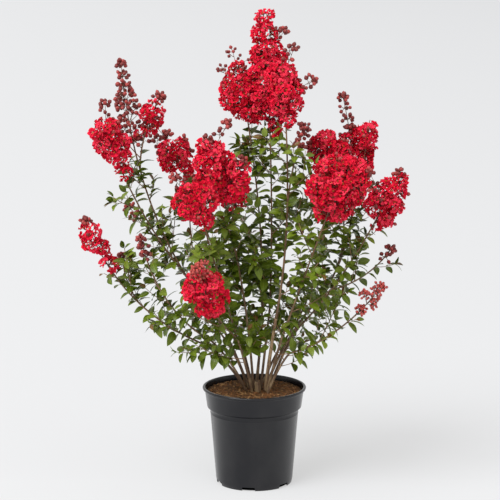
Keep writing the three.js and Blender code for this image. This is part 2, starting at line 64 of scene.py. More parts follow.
# The pot: its height, the radii of its rim, collar, body and foot, the height of the collar's lower edge, how
# far down the lip and the ledge reach, the wall's thickness, the height of the channel under it, and the
# number, width, height and turn of the drain slots.
POT = {
    "height": 250, "rim": 132, "lip": 6, "collar_top": 126.2, "collar_bottom": 120.4, "collar_low": 199,
    "body_top": 113, "body_bottom": 98, "foot": 96, "ledge": 5, "wall": 2.4, "channel": 10,
    "disc": 89.6, "well": 86,  # radii of the disc that the pot stands on and of the well inside, over it
    "drains": 6, "drain_width": 33, "drain_height": 9, "drain_turn": -9,
}
# The potting mix: the heights of its top at the wall and at the crown, the crown's radius, the run of the
# slope from there, how far the bed lies below the tops of its chips, the bed's depth, how far it narrows
# downwards, and how far the middles of the chips stay from the wall.
MIX = {
    "edge": 238.5, "crown": 244, "crown_radius": 62, "slope": 52, "bedding": 2.2, "depth": 60, "narrow": 0.88,
    "margin": 11.8,
}
STUMP = {"at": (9, -27), "radius": (8.5, 7), "height": 25, "lean": (-2, -4)}
CANE_SUNK = 14  # how deep a cane's foot stands in the mix
CANE_FLARE = {"swell": 0.35, "share": 0.06}  # how much a cane widens at its foot, and over what share of it
LEADER_BEND = 0.42  # how far along its length a leader keeps its parent's heading
SIDE_LEADER = 0.7  # the thickness of a leader that leaves another one, as a share of the first one's
# A leader's side shoots: the distance between them, their greatest length, the angle at which they leave, and
# how far they curve upwards, as a share of their length.
SHOOT = {"spacing": 176, "length": 144, "slant": 52, "rise": 0.28}
FINE_SHOOT = {"spacing": 96, "length": 72}  # the finer shoots between those
# The twigs: where they leave a shoot or the top of a cane, as shares of its length, at which angle, and how
# long they are, as a share of the shoot or in millimetres (with the growth towards the cane's fork).
TWIG = {"places": (0.36, 0.68), "slant": 46, "share": 0.42}
CANE_TWIG = {"places": (0.62, 0.78, 0.93), "slant": 60, "length": 46, "growth": 40}
HEAD_FOOT = 1.9  # radius of a stem where its flower head begins
SLIM = 0.87  # how far the bark stays inside the wood's full radius between its ridges and knots

# What a leafy stem is like, by its kind: its radius at the foot (a leader has its own) and at the tip, the
# share of it that bears no leaves, the distance between the pairs of leaves, and its rank, which is 0 for a
# leader, 1 for a shoot and 2 for a twig.
STEMS = {
    "leader": (HEAD_FOOT, 0.04, 24.5, 0),
    "shoot": (1.6, 0.8, 0.12, 19, 1),
    "low spray": (1.6, 0.8, 0.2, 19, 1),
    "twig": (1.0, 0.6, 0.25, 16.5, 2),
    "fine shoot": (1.1, 0.7, 0.2, 17.5, 2),
    "cane twig": (1.1, 0.7, 0.25, 19, 2),
}

# Each cane: foot, fork, bow of its middle, radius at both ends, and its leaders. A leader has its tip, its
# bend, the share along the first leader where it leaves that one (off), and its flower head: length, radius
# at the belly, the belly's height, roundness and the share in open flower. The last three are shares.
CANES = {
    "far_left": {
        "foot": (-24, -4), "fork": (-125, -10, 360), "bow": (10, 0, 18), "radius": (4.0, 3.0),
        "leaders": [
            {"tip": (-426, -30, 695), "bend": (-62, -8, -10), "head": (138, 34, 0.4, 0.5, 0.75)},
            {"off": 0.4, "tip": (-337, 50, 585), "head": (40, 14, 0.5, 0, 0)},
        ],
    },
    "left_low": {
        "foot": (-21, -20), "fork": (-108, -46, 378), "bow": (10, 0, 14), "radius": (3.6, 2.8),
        "leaders": [{"tip": (-281, -140, 663), "bend": (-30, 0, -20), "head": (58, 18, 0.4, 0, 0)}],
    },
    "left_tall": {
        "foot": (-16, 10), "fork": (-103, 0, 440), "bow": (10, 0, 10), "radius": (4.6, 3.3),
        "leaders": [
            {"tip": (-335, 60, 1078), "bend": (-50, -6, 0), "head": (215, 48, 0.35, 0.1, 0.05)},
            {"off": 0.2, "tip": (-376, -90, 950), "bend": (-26, -14, -12), "head": (152, 48, 0.55, 1, 1)},
            {"off": 0.62, "tip": (-230, 28, 1000), "bend": (18, 0, 0), "head": (112, 34, 0.45, 0.5, 0.75)},
            {"off": 0.12, "tip": (-326, 100, 702), "head": (48, 14, 0.5, 0, 0)},
        ],
    },
    "left_back": {
        "foot": (-6, 28), "fork": (-62, 66, 440), "bow": (6, 2, 4), "radius": (4.0, 3.0),
        "leaders": [{"tip": (-229, 160, 880), "bend": (20, 4, 6), "head": (110, 45, 0.4, 0.6, 0.85)}],
    },
    "front_left": {
        "foot": (-6, -36), "fork": (-38, -88, 380), "bow": (3, -4, 0), "radius": (3.8, 2.9),
        "leaders": [
            {"tip": (-151, -225, 810), "head": (104, 52, 0.45, 0.9, 1)},
            {
                "off": 0.05, "tip": (-137, -285, 623), "bend": (-34, -70, -48),
                "head": (158, 57, 0.38, 0.4, 0.65),
            },
        ],
    },
    "inner_left": {
        "foot": (-2, -8), "fork": (-20, -28, 440), "bow": (3, 4, 0), "radius": (4.1, 3.0),
        "leaders": [
            {"tip": (-116, -100, 900), "head": (150, 57, 0.4, 0.5, 0.92)},
            {"off": 0.4, "tip": (-31, -150, 852), "head": (95, 34, 0.45, 0.5, 0.95)},
        ],
    },
    "middle_left": {
        "foot": (6, 12), "fork": (20, 28, 440), "bow": (2, 0, 0), "radius": (4.2, 3.1),
        "leaders": [{"tip": (-44, 36, 1082), "bend": (-6, 0, 0), "head": (160, 56, 0.4, 0.6, 1)}],
    },
    "middle": {
        "foot": (16, -3), "fork": (38, 2, 440), "bow": (0, 0, 0), "radius": (4.2, 3.1),
        "leaders": [{"tip": (22, 6, 1207), "bend": (-20, 0, 0), "head": (285, 54, 0.32, 0.7, 1)}],
    },
    "middle_front": {
        "foot": (28, -15), "fork": (54, -58, 440), "bow": (-2, -2, 0), "radius": (5.8, 4.2),
        "leaders": [
            {"tip": (66, -38, 1084), "bend": (8, -6, 0), "head": (126, 50, 0.42, 0.8, 1)},
            {"off": 0.46, "tip": (124, -70, 932), "head": (60, 20, 0.4, 0, 0)},
        ],
    },
    "right_front": {
        "foot": (33, -31), "fork": (74, -66, 405), "bow": (-3, 3, 6), "radius": (4.2, 3.1),
        "leaders": [{"tip": (230, -138, 861), "bend": (0, -20, 0), "head": (146, 74, 0.45, 0.9, 1)}],
    },
    "far_right": {
        "foot": (40, 1), "fork": (112, 8, 400), "bow": (-10, 0, 10), "radius": (4.4, 3.2),
        "leaders": [
            {"tip": (368, 30, 800), "bend": (30, 0, -20), "head": (142, 48, 0.4, 0.6, 0.9)},
            {"off": 0.3, "tip": (356, 110, 590), "bend": (44, 12, -50), "head": (46, 14, 0.5, 0, 0)},
        ],
    },
    "right_low": {
        "foot": (34, -47), "fork": (88, -54, 348), "bow": (-5, 0, 12), "radius": (3.7, 2.9),
        "leaders": [{"tip": (321, -80, 533), "bend": (60, -20, -48), "head": (101, 32, 0.45, 0.5, 0.05)}],
    },
    "right_back": {
        "foot": (30, 20), "fork": (146, 66, 440), "bow": (-16, 0, 14), "radius": (4.4, 3.2),
        "leaders": [
            {"tip": (222, 100, 990), "bend": (14, -6, 4), "head": (215, 58, 0.3, -0.4, 0.6)},
            {"off": 0.25, "tip": (290, 40, 928), "bend": (-16, -16, 6), "head": (112, 33, 0.6, 0.8, 1)},
            {"off": 0.2, "tip": (168, 12, 902), "bend": (-10, -10, 0), "head": (112, 50, 0.5, 0.8, 1)},
        ],
    },
    "back": {
        "foot": (5, 48), "fork": (18, 118, 350), "bow": (0, -8, 10), "radius": (4.0, 3.0),
        "leaders": [{"tip": (-100, 325, 785), "bend": (0, 10, 0), "head": (125, 46, 0.35, 0.4, 0.8)}],
    },
    "back_left": {
        "foot": (-17, 38), "fork": (-78, 106, 350), "bow": (6, -6, 10), "radius": (3.9, 3.0),
        "leaders": [{"tip": (-172, 305, 758), "bend": (0, 10, -10), "head": (125, 45, 0.35, 0.5, 0.85)}],
    },
    "back_right": {
        "foot": (22, 47), "fork": (84, 116, 350), "bow": (-6, -6, 10), "radius": (3.9, 3.0),
        "leaders": [{"tip": (200, 285, 782), "bend": (0, 10, -10), "head": (125, 46, 0.35, 0.4, 0.8)}],
    },
}

# Leafy sprays low on a cane: the cane, the share of its length, heading, rise and length.
LOW_SPRAYS = {
    "low_left": ("left_low", 0.7, 225, 0, 130),
    "low_front_left": ("front_left", 0.7, 205, 5, 130),
    "low_front": ("inner_left", 0.5, 268, 20, 130),
    "low_front_right": ("right_front", 0.6, 336, 8, 140),
    "low_right": ("far_right", 0.7, 35, 0, 150),
}

MAIN_CANE = "middle_front"

# Sprigs of closed buds that stand out of a flower head: the cane, its leader, the height in the head, the
# heading in degrees from +X, the rise above level and the length.
SPRIGS = [
    ("middle_left", 0, 0.8, 165, 66, 44), ("middle_left", 0, 0.62, 178, 30, 55),
    ("middle", 0, 0.66, 5, 42, 58),
    ("middle_front", 0, 0.75, 8, 62, 58), ("middle_front", 0, 0.45, 0, 12, 70),
    ("inner_left", 0, 0.8, 12, 50, 62),
    ("far_right", 0, 0.5, 175, 48, 62),
    ("left_tall", 1, 0.75, 100, 66, 57),
    ("right_back", 2, 0.4, 190, 25, 60),
    ("front_left", 0, 0.55, 190, 35, 66),
    ("left_back", 0, 0.8, 178, 42, 66), ("left_back", 0, 0.45, 186, 24, 64),
]
SMALL_SPRIG = 56  # a sprig shorter than this has fewer and smaller buds

# ---------------------------------------------------------------- leaves and flowers, in metres

# A cluster of flowers round the end of a branch: the height of a row and the distance between clusters in it,
# the cluster's radius, its flowers, how far they wrap round it, and the swelling of the head's outline under
# which a place stays empty. A cluster of the inner layer has fewer flowers.
CLUSTER = {
    "pitch": 0.026, "spacing": 0.033, "radius": 0.0155, "flowers": 9, "inner_flowers": 5, "wrap": 1.25,
    "gap": 0.70,
}
TUFT = {"pitch": 0.027, "spacing": 0.043, "radius": 0.012}  # tufts of buds, in rows in the same way
BRANCH = {"open": 84, "closed": 68, "upright": 26}  # degrees that a head's branches lean, and less at its tip
YOUNG_HEAD = 0.65  # an open head whose tip is lower than this ends in fresh buds
LOOSE_BUDS = 0.32  # the share of the branches with a few buds among their flowers
# Painted light and shade on the petals: the highlight red is a painted highlight, given mostly to the outer
# flowers, and the deep red is painted shade, given mostly to the inner layer inside the head.
LIT_PETAL_TINTS = {"crimson": 0.5, "bright": 0.34, "deep": 0.16}  # with the share of the outer flowers of each
SHADED_INNER_TINTS = {"crimson": 0.25, "bright": 0.05, "deep": 0.7}
# A petal: the points round its edge, the length of its claw, the angles that it lifts by, the range of its
# whole length, and how deep its edge is ruffled. Lengths are shares of half the flower's width, and the
# ruffles are shares of the blade's radius.
PETAL = {"points": 7, "claw": 0.36, "lift": (8, 66), "reach": (0.86, 1.08), "ruffle": (0.22, 0.55)}

# A leaf: the range of its size, the factors on it at a stem's tip and on a twig, how far it leans from its
# stem along it and at the tip, and the shares of young leaves at the tips and of leaves of their own tint.
LEAF = {
    "size": (0.78, 1.12), "tip_size": 0.72, "twig_size": 0.9, "slant": (52, 76), "tip_slant": (22, 44),
    "young": 0.16, "own_tint": 0.45,
}
LEAF_TINTS = {"deep": 0.40, "green": 0.43, "light": 0.17}  # with the share of the stems that have each
# How far apart the pairs of leaves stand, as a factor on their stem's spacing: up to a height, the factor at
# the plant's axis and the one at the crown's edge.
OPENNESS = ((0.52, 1.06, 1.15), (0.74, 0.70, 1.20), (2.0, 0.70, 0.88))
CROWN_EDGE = 0.2  # distance from the axis at which the second factor is reached

# Where no leaves grow: round a flower head's foot, its open flowers and its buds, beyond the head's own
# radius (of which the least counts where it is thin), and less far behind it. Then a strip before the bare
# main cane, and the crown's upper corners.
HEAD_ROOM = {"foot": 0.007, "open": 0.030, "buds": 0.014, "least": 0.010, "behind": 0.018}
BARE_STRIP = {"half_width": 0.021, "half_height": 0.03}
BARE_CORNER = {"height": 0.88, "reach": 0.33}

LEAF_KINDS, FLOWER_KINDS, BUD_KINDS = 6, 6, 2  # how many different shapes of each are made


# ---------------------------------------------------------------- lines of growth

class Line:
    """A stretch of growth, as a quadratic curve in metres."""

    def __init__(self, start, control, end):
        self.start, self.control, self.end = start, control, end

    def point(self, share):
        rest = 1 - share
        return self.start * rest ** 2 + self.control * (2 * rest * share) + self.end * share ** 2

    def slope(self, share):
        return (self.control - self.start) * (1 - share) + (self.end - self.control) * share

    def tangent(self, share):
        return self.slope(share).normalized()

    def length(self):
        middle = self.point(0.5)
        return (middle - self.start).length + (self.end - middle).length

    def part(self, low, high):
        return Line(self.point(low), self.point(low) + self.slope(low) * (high - low), self.point(high))

    def points(self, step):
        count = max(3, round(self.length() / step))
        return [self.point(i / count) for i in range(count + 1)]


def metres(values):
    return Vector(values) * MM


def cane_line(spec):
    """The cane's own line, from the mix to the fork."""
    start = metres((*spec["foot"], MIX["crown"]))
    end = metres(spec["fork"])
    return Line(start, start.lerp(end, 0.5) + metres(spec["bow"]), end)


def leader_line(start, heading, leader):
    """A leader runs on in its parent's heading, then bends to its tip."""
    end = metres(leader["tip"])
    bend = metres(leader.get("bend", (0, 0, 0)))
    return Line(start, start + heading * (LEADER_BEND * (end - start).length) + bend, end)


def shoot_line(start, heading, length):
    """A side shoot starts along its heading and curves upwards."""
    end = start + heading * length + UP * (SHOOT["rise"] * length)
    return Line(start, start + heading * (length * 0.5), end)


def splay(along, turn, angle):
    """A direction that leaves `along` at an angle, turned round it. Both are in degrees."""
    side = UP.cross(along)
    if side.length < 0.2:
        side = RIGHT - along * along.x
    side = Quaternion(along, math.radians(turn)) @ side.normalized()
    return (along * math.cos(math.radians(angle)) + side * math.sin(math.radians(angle))).normalized()


def heading_of(turn, rise):
    """A direction from its heading round +X and its rise above level, in degrees."""
    turn, rise = math.radians(turn), math.radians(rise)
    level = math.cos(rise)
    return Vector((level * math.cos(turn), level * math.sin(turn), math.sin(rise)))


def jitter(rng, reach):
    """A small random vector, up to `reach` along each axis."""
    return Vector([rng.uniform(-reach, reach) for _ in range(3)])


def head_profile(height, belly, roundness):
    """How far a head's branches reach, at a height from 0 at the bottom to 1 at the tip."""
    if height < belly:
        return 0.22 + 0.78 * math.sin(height / belly * math.pi / 2) ** 0.9
    rest = min(1, (height - belly) / (1 - belly))
    return 1 - rest + roundness * (math.sqrt(1 - rest ** 2) - (1 - rest))


# A leader has its whole line, its leafy stretch, its flower head's line and form, and its thickness.
Leader = namedtuple("Leader", "line wood head form thick")
Cane = namedtuple("Cane", "name spec stem leaders")
Stem = namedtuple("Stem", "line low high bare spacing rank")


def grow_canes():
    """Every cane with its line, and every leader with its leafy stretch and the line of its flower head."""
    grown = []
    for name, spec in CANES.items():
        stem = cane_line(spec)
        leaders = []
        for i, leader in enumerate(spec["leaders"]):
            parent = leaders[0].line if i else stem
            off = leader["off"] if i else 1
            line = leader_line(parent.point(off), parent.tangent(off), leader)
            length, *form = leader["head"]
            share = 1 - length * MM / line.length()
            thick = spec["radius"][1] * (SIDE_LEADER if i else 1)
            leaders.append(Leader(line, line.part(0, share), line.part(share, 1), form, thick))
        grown.append(Cane(name, spec, stem, leaders))
    return grown


canes = grow_canes()
cane_by_name = {cane.name: cane for cane in canes}


def grow_shoots(wood, turn, rng):
    """The shoots of a leader, evenly spaced and shorter towards its tip, each with two twigs."""
    count = max(1, round(wood.length() / (SHOOT["spacing"] * MM)))
    for k in range(count):
        share = (k + 0.42) / count
        length = SHOOT["length"] * (1 - 0.5 * share) * (0.85 + 0.15 * math.cos(2.4 * k)) * MM
        heading = splay(wood.tangent(share), turn + k * GOLDEN, SHOOT["slant"])
        shoot = shoot_line(wood.point(share), heading, length)
        yield Stem(shoot, *STEMS["shoot"])
        for j, at in enumerate(TWIG["places"]):
            twig_heading = splay(shoot.tangent(at), 90 + 180 * j + rng.uniform(-30, 30), TWIG["slant"])
            twig_length = length * TWIG["share"] * rng.uniform(0.8, 1.2)
            yield Stem(shoot_line(shoot.point(at), twig_heading, twig_length), *STEMS["twig"])


def grow_fine_shoots(wood, turn, rng):
    """The finer shoots of a leader, between its main ones."""
    count = round(wood.length() / (FINE_SHOOT["spacing"] * MM))
    for k in range(count):
        share = (k + 0.7) / count
        length = FINE_SHOOT["length"] * MM * (1.1 - 0.55 * share) * rng.uniform(0.7, 1.2)
        heading = splay(wood.tangent(share), turn + k * GOLDEN, SHOOT["slant"] + rng.uniform(-8, 8))
        yield Stem(shoot_line(wood.point(share), heading, length), *STEMS["fine shoot"])


def grow_stems():
    """Every stem that bears leaves: leaders, their shoots, the twigs on those, and low sprays."""
    stems = []
    for index, cane in enumerate(canes):
        rng = random.Random(index)
        for i, leader in enumerate(cane.leaders):
            turn = 50 * i + 35 * index
            stems.append(Stem(leader.wood, leader.thick * SLIM, *STEMS["leader"]))
            stems += grow_shoots(leader.wood, turn, rng)
            stems += grow_fine_shoots(leader.wood, turn + 40, rng)
        for k, share in enumerate(CANE_TWIG["places"]):
            heading = splay(cane.stem.tangent(share), 60 * index + k * GOLDEN, CANE_TWIG["slant"])
            length = (CANE_TWIG["length"] + CANE_TWIG["growth"] * share) * MM * rng.uniform(0.6, 1.1)
            stems.append(Stem(shoot_line(cane.stem.point(share), heading, length), *STEMS["cane twig"]))
    for cane, at, turn, rise, length in LOW_SPRAYS.values():
        start = cane_by_name[cane].stem.point(at)
        stems.append(Stem(shoot_line(start, heading_of(turn, rise), length * MM), *STEMS["low spray"]))
    return stems


# ---------------------------------------------------------------- meshes

def circle(sides):
    """The directions round Z from +X, each as its cosine and its sine."""
    turns = [2 * math.pi * k / sides for k in range(sides)]
    return [(math.cos(turn), math.sin(turn)) for turn in turns]


class Shell:
    """Points and faces of closed shapes that are joined into one mesh."""

    def __init__(self):
        self.points, self.faces, self.count = [], [], 0

    def add(self, points, faces):
        self.points.append(np.asarray(points, float).reshape(-1, 3))
        self.faces.extend([i + self.count for i in face] for face in faces)
        self.count += len(self.points[-1])

    def stack(self, foot, rings, tip):
        """A closed shape of rings of points, between a point below them and one above."""
        sides = len(rings[0])
        points = [foot, *(point for ring in rings for point in ring), tip]
        last, top = len(points) - 1, 1 + (len(rings) - 1) * sides
        faces = [[0, 1 + (k + 1) % sides, 1 + k] for k in range(sides)]
        for low in range(1, top, sides):
            for k in range(sides):
                after = (k + 1) % sides
                faces.append([low + k, low + after, low + sides + after, low + sides + k])
        faces += [[last, top + k, top + (k + 1) % sides] for k in range(sides)]
        self.add(points, faces)

    def tube(self, centres, radii, sides, relief=None):
        """A closed rod along some points. A relief, by centre and turn, multiplies its radius."""
        centres = np.array([tuple(c) for c in centres])
        along = np.gradient(centres, axis=0)
        along /= np.linalg.norm(along, axis=1)[:, None]
        reference = np.eye(3)[np.argmin(np.abs(along).max(axis=0))]
        across = np.cross(reference, along)
        across /= np.linalg.norm(across, axis=1)[:, None]
        other = np.cross(along, across)
        turns = np.arange(sides) * 2 * math.pi / sides
        ring = np.cos(turns)[None, :, None] * across[:, None] + np.sin(turns)[None, :, None] * other[:, None]
        reach = np.asarray(radii, float)[:, None] * np.ones(sides)
        if relief is not None:
            reach = reach * relief(centres, turns)
        points = centres[:, None] + ring * reach[:, :, None]
        last = (len(centres) - 1) * sides
        faces = [[low + j, low + (j + 1) % sides, low + sides + (j + 1) % sides, low + sides + j]
                 for low in range(0, last, sides) for j in range(sides)]
        faces += [list(range(sides - 1, -1, -1)), list(range(last, last + sides))]
        self.add(points, faces)

    def mesh(self, name, flat=False):
        mesh = bpy.data.meshes.new(name)
        mesh.from_pydata(np.concatenate(self.points).tolist(), [], self.faces)
        mesh.polygons.foreach_set("use_smooth", [not flat] * len(mesh.polygons))
        mesh.validate()
        return mesh


def new_piece(name, mesh, material, replaced=()):
    """An object of the plant, which rides on its one body."""
    piece = bpy.data.objects.new(name, mesh)
    bpy.context.scene.collection.objects.link(piece)
    mesh.materials.clear()
    mesh.materials.append(material)
    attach(piece, "root")
    if replaced:
        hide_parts(*replaced)


def nodes_named(start):
    return sorted(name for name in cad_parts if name.startswith(start))


# ---------------------------------------------------------------- node trees

def new_tree(name, kind, inputs, output):
    """A node tree with its inputs, each a kind and a default, and its one output, and the inputs' sockets."""
    tree = bpy.data.node_groups.new(name, kind)
    for label, (socket, default) in inputs.items():
        made = tree.interface.new_socket(name=label, in_out="INPUT", socket_type="NodeSocket" + socket)
        if default is not None:
            made.default_value = default
    label, socket = output
    tree.interface.new_socket(name=label, in_out="OUTPUT", socket_type="NodeSocket" + socket)
    return tree, tree.nodes.new("NodeGroupInput").outputs


def add_node(tree, kind, inputs=None, **settings):
    """A node with its settings, and with a link or a value on each of the inputs given by name or number."""
    node = tree.nodes.new(kind)
    for name, value in settings.items():
        setattr(node, name, value)
    for key, value in (inputs or {}).items():
        if isinstance(value, bpy.types.NodeSocket):
            tree.links.new(value, node.inputs[key])
        else:
            node.inputs[key].default_value = value
    return node


def calc(tree, operation, a, b=0.0):
    """A sum on two values, each a number or a socket."""
    return add_node(tree, "ShaderNodeMath", {0: a, 1: b}, operation=operation).outputs[0]


def shared(name, build):
    """A node tree that several pieces use, built the first time it is asked for."""
    return bpy.data.node_groups.get(name) or build(name)


# ---------------------------------------------------------------- things that repeat, placed on points

def make_real(tree, placed, finish):
    """Ends a tree: the placed shapes become one plain mesh of one material."""
    real = add_node(tree, "GeometryNodeRealizeInstances", {"Geometry": placed.outputs["Instances"]})
    done = add_node(tree, "GeometryNodeSetMaterial", {
        "Geometry": real.outputs["Geometry"], "Material": finish})
    add_node(tree, "NodeGroupOutput", {"Mesh": done.outputs["Geometry"]})
    return tree


def pick_shapes(tree, collection):
    """The shapes of a collection, each to be placed by itself."""
    shapes = add_node(tree, "GeometryNodeCollectionInfo", {
        "Collection": collection, "Separate Children": True, "Reset Children": True})
    return shapes.outputs["Instances"]


# What a point says of the shape on it: the value's name and its kinds in the mesh and in an array.
POINT_VALUES = (("turn", "QUATERNION", np.float32), ("size", "FLOAT", np.float32), ("kind", "INT", np.int32))


def on_points_tree(name):
    """Puts one of a collection's shapes on each point, by the point's own turn, size and kind."""
    tree, given = new_tree(name, "GeometryNodeTree", {
        "Points": ("Geometry", None), "Shapes": ("Collection", None), "Size": ("Float", 1.0),
        "Finish": ("Material", None)}, ("Mesh", "Geometry"))
    turn, size, kind = (
        add_node(tree, "GeometryNodeInputNamedAttribute", {"Name": label}, data_type=data).outputs[0]
        for label, data, _ in POINT_VALUES)
    placed = add_node(tree, "GeometryNodeInstanceOnPoints", {
        "Points": given["Points"], "Instance": pick_shapes(tree, given["Shapes"]), "Pick Instance": True,
        "Instance Index": kind, "Rotation": turn, "Scale": calc(tree, "MULTIPLY", size, given["Size"])})
    return make_real(tree, placed, given["Finish"])


def strewn_tree(name):
    """Strews a collection's shapes over a surface, each turned and sized at random."""
    tree, given = new_tree(name, "GeometryNodeTree", {
        "Surface": ("Geometry", None), "Shapes": ("Collection", None), "Density": ("Float", 1000.0),
        "Smallest": ("Float", 0.5), "Largest": ("Float", 1.5), "Tilt": ("Float", 0.4), "Seed": ("Int", 1),
        "Finish": ("Material", None)}, ("Mesh", "Geometry"))
    spread = add_node(tree, "GeometryNodeDistributePointsOnFaces", {
        "Mesh": given["Surface"], "Density": given["Density"], "Seed": given["Seed"]})
    size = add_node(tree, "FunctionNodeRandomValue", {
        "Min": given["Smallest"], "Max": given["Largest"], "Seed": given["Seed"]}, data_type="FLOAT")
    back = calc(tree, "MULTIPLY", given["Tilt"], -1.0)
    low = add_node(tree, "ShaderNodeCombineXYZ", {"X": back, "Y": back})
    high = add_node(tree, "ShaderNodeCombineXYZ", {"X": given["Tilt"], "Y": given["Tilt"], "Z": 2 * math.pi})
    turn = add_node(tree, "FunctionNodeRandomValue", {
        "Min": low.outputs[0], "Max": high.outputs[0], "Seed": given["Seed"]}, data_type="FLOAT_VECTOR")
    placed = add_node(tree, "GeometryNodeInstanceOnPoints", {
        "Points": spread.outputs["Points"], "Instance": pick_shapes(tree, given["Shapes"]),
        "Pick Instance": True, "Rotation": turn.outputs["Value"], "Scale": size.outputs["Value"]})
    return make_real(tree, placed, given["Finish"])


def collection_of(name, meshes):
    """A collection of shapes that aren't shown themselves."""
    shapes = bpy.data.collections.new(name)
    for i, mesh in enumerate(meshes):
        shapes.objects.link(bpy.data.objects.new(f"{name}_{i}", mesh))
    return shapes


def real_mesh(name, source, tree, values):
    """The plain mesh that a node tree makes of a source mesh."""
    maker = bpy.data.objects.new(name + "_maker", source)
    bpy.context.scene.collection.objects.link(maker)
    modifier = maker.modifiers.new("Grow", "NODES")
    modifier.node_group = tree
    for item in tree.interface.items_tree:
        if item.item_type == "SOCKET" and item.in_out == "INPUT" and item.name in values:
            modifier[item.identifier] = values[item.name]
    graph = bpy.context.evaluated_depsgraph_get()
    mesh = bpy.data.meshes.new_from_object(
        maker.evaluated_get(graph), preserve_all_data_layers=True, depsgraph=graph)
    mesh.name = name
    maker.modifiers.clear()
    bpy.data.objects.remove(maker)
    return mesh


Spot = namedtuple("Spot", "at turn size kind")


def points_mesh(name, spots):
    """Points with the turn, size and kind of the shape that each carries."""
    mesh = bpy.data.meshes.new(name)
    mesh.from_pydata([tuple(spot.at) for spot in spots], [], [])
    for label, data, number in POINT_VALUES:
        values = np.array([getattr(spot, label) for spot in spots], number)
        mesh.attributes.new(label, data, "POINT").data.foreach_set("value", values.ravel())
    return mesh


def grown_piece(name, spots, shapes, material, replaced=()):
    """A piece made of shapes on points."""
    mesh = real_mesh(name, points_mesh(name + "_points", spots), shared("Shapes on points", on_points_tree),
                     {"Shapes": shapes, "Size": 1.0, "Finish": material})
    new_piece(name, mesh, material, replaced)


def turn_of(along, normal):
    """The turn that takes +Y to `along` and +Z as near as may be to `normal`."""
    face = (normal - along * normal.dot(along)).normalized()
    across = along.cross(face)
    return Matrix((across, along, face)).transposed().to_quaternion()


# ---------------------------------------------------------------- materials

def shade(colour, factor):
    return tuple(min(1, value * factor) for value in colour)


def own_space(tree):
    """A point's place in its object's own space."""
    return add_node(tree, "ShaderNodeTexCoord").outputs["Object"]


def grain_group(name):
    """Fine relief over an object's own space, as a height."""
    tree, given = new_tree(name, "ShaderNodeTree", {"Scale": ("Float", 100.0), "Stretch": ("Float", 1.0)},
                           ("Height", "Float"))
    pull = add_node(tree, "ShaderNodeCombineXYZ", {"X": 1.0, "Y": 1.0, "Z": given["Stretch"]})
    place = add_node(tree, "ShaderNodeVectorMath", {0: own_space(tree), 1: pull.outputs[0]},
                     operation="MULTIPLY")
    grain = add_node(tree, "ShaderNodeTexNoise", {
        "Vector": place.outputs[0], "Scale": given["Scale"], "Detail": 4.0, "Roughness": 0.6})
    add_node(tree, "NodeGroupOutput", {"Height": grain.outputs["Fac"]})
    return tree


def add_grain(tree, scale, stretch=1.0):
    """The grain's height. A stretch under 1 draws it out along Z."""
    grain = add_node(tree, "ShaderNodeGroup", {"Scale": scale, "Stretch": stretch},
                     node_tree=shared("Grain", grain_group))
    return grain.outputs["Height"]


def mix_colours(tree, share, main, other):
    """A colour between two others, each a colour or a socket."""
    mix = add_node(tree, "ShaderNodeMix", {"Factor": share, 6: main, 7: other}, data_type="RGBA")
    return mix.outputs[2]


def mottle_group(name):
    """Mixes two colours in patches over an object's own space."""
    tree, given = new_tree(name, "ShaderNodeTree", {
        "Main": ("Color", None), "Patch": ("Color", None), "Scale": ("Float", 20.0),
        "Stretch": ("Float", 1.0), "From": ("Float", 0.4), "To": ("Float", 0.65)}, ("Colour", "Color"))
    height = add_grain(tree, given["Scale"], given["Stretch"])
    ramp = add_node(tree, "ShaderNodeMapRange", {
        "Value": height, "From Min": given["From"], "From Max": given["To"]})
    mixed = mix_colours(tree, ramp.outputs["Result"], given["Main"], given["Patch"])
    add_node(tree, "NodeGroupOutput", {"Colour": mixed})
    return tree


def add_patches(tree, main, patch, scale, stretch=1.0, low=0.4, high=0.65):
    """A colour in patches. The patch's colour begins at the grain's height `low` and is full at `high`."""
    patches = add_node(tree, "ShaderNodeGroup", {
        "Main": (*main, 1), "Patch": (*patch, 1), "Scale": scale, "Stretch": stretch,
        "From": low, "To": high}, node_tree=shared("Mottle", mottle_group))
    return patches.outputs["Colour"]


def vein_group(name):
    """The midrib and side veins of a leaf, as a mask over its own map."""
    tree, given = new_tree(name, "ShaderNodeTree", {"Width": ("Float", 0.05)}, ("Mask", "Float"))
    leaf_map = add_node(tree, "ShaderNodeUVMap", uv_map="UVMap")
    across, along, _ = add_node(tree, "ShaderNodeSeparateXYZ", {0: leaf_map.outputs["UV"]}).outputs
    side = calc(tree, "ABSOLUTE", calc(tree, "SUBTRACT", across, 0.5))
    rib = calc(tree, "LESS_THAN", side, given["Width"])
    slope = calc(tree, "SUBTRACT", along, calc(tree, "MULTIPLY", side, 0.55))
    wave = calc(tree, "SINE", calc(tree, "MULTIPLY", slope, 44.0))
    veins = calc(tree, "MULTIPLY", calc(tree, "GREATER_THAN", wave, 0.86), 0.5)
    add_node(tree, "NodeGroupOutput", {"Mask": calc(tree, "MAXIMUM", rib, veins)})
    return tree


def new_material(name, roughness, specular=0.5):
    """A material, its shader and its node tree."""
    material = bpy.data.materials.new(name)
    material.use_nodes = True
    shader = material.node_tree.nodes["Principled BSDF"]
    shader.inputs["Roughness"].default_value = roughness
    shader.inputs["Specular IOR Level"].default_value = specular
    return material, shader, material.node_tree


def add_bump(tree, shader, height, strength, distance):
    bump = add_node(tree, "ShaderNodeBump", {"Strength": strength, "Distance": distance, "Height": height})
    tree.links.new(bump.outputs["Normal"], shader.inputs["Normal"])


def mottled(name, main, other, scale, roughness, grain=None, specular=0.5):
    """A material in patches of a colour and of it times `other`. The grain is a depth and a scale."""
    material, shader, tree = new_material(name, roughness, specular)
    tree.links.new(add_patches(tree, main, shade(main, other), scale), shader.inputs["Base Color"])
    if grain:
        depth, fineness = grain
        add_bump(tree, shader, add_grain(tree, fineness), 0.6, depth)
    return material


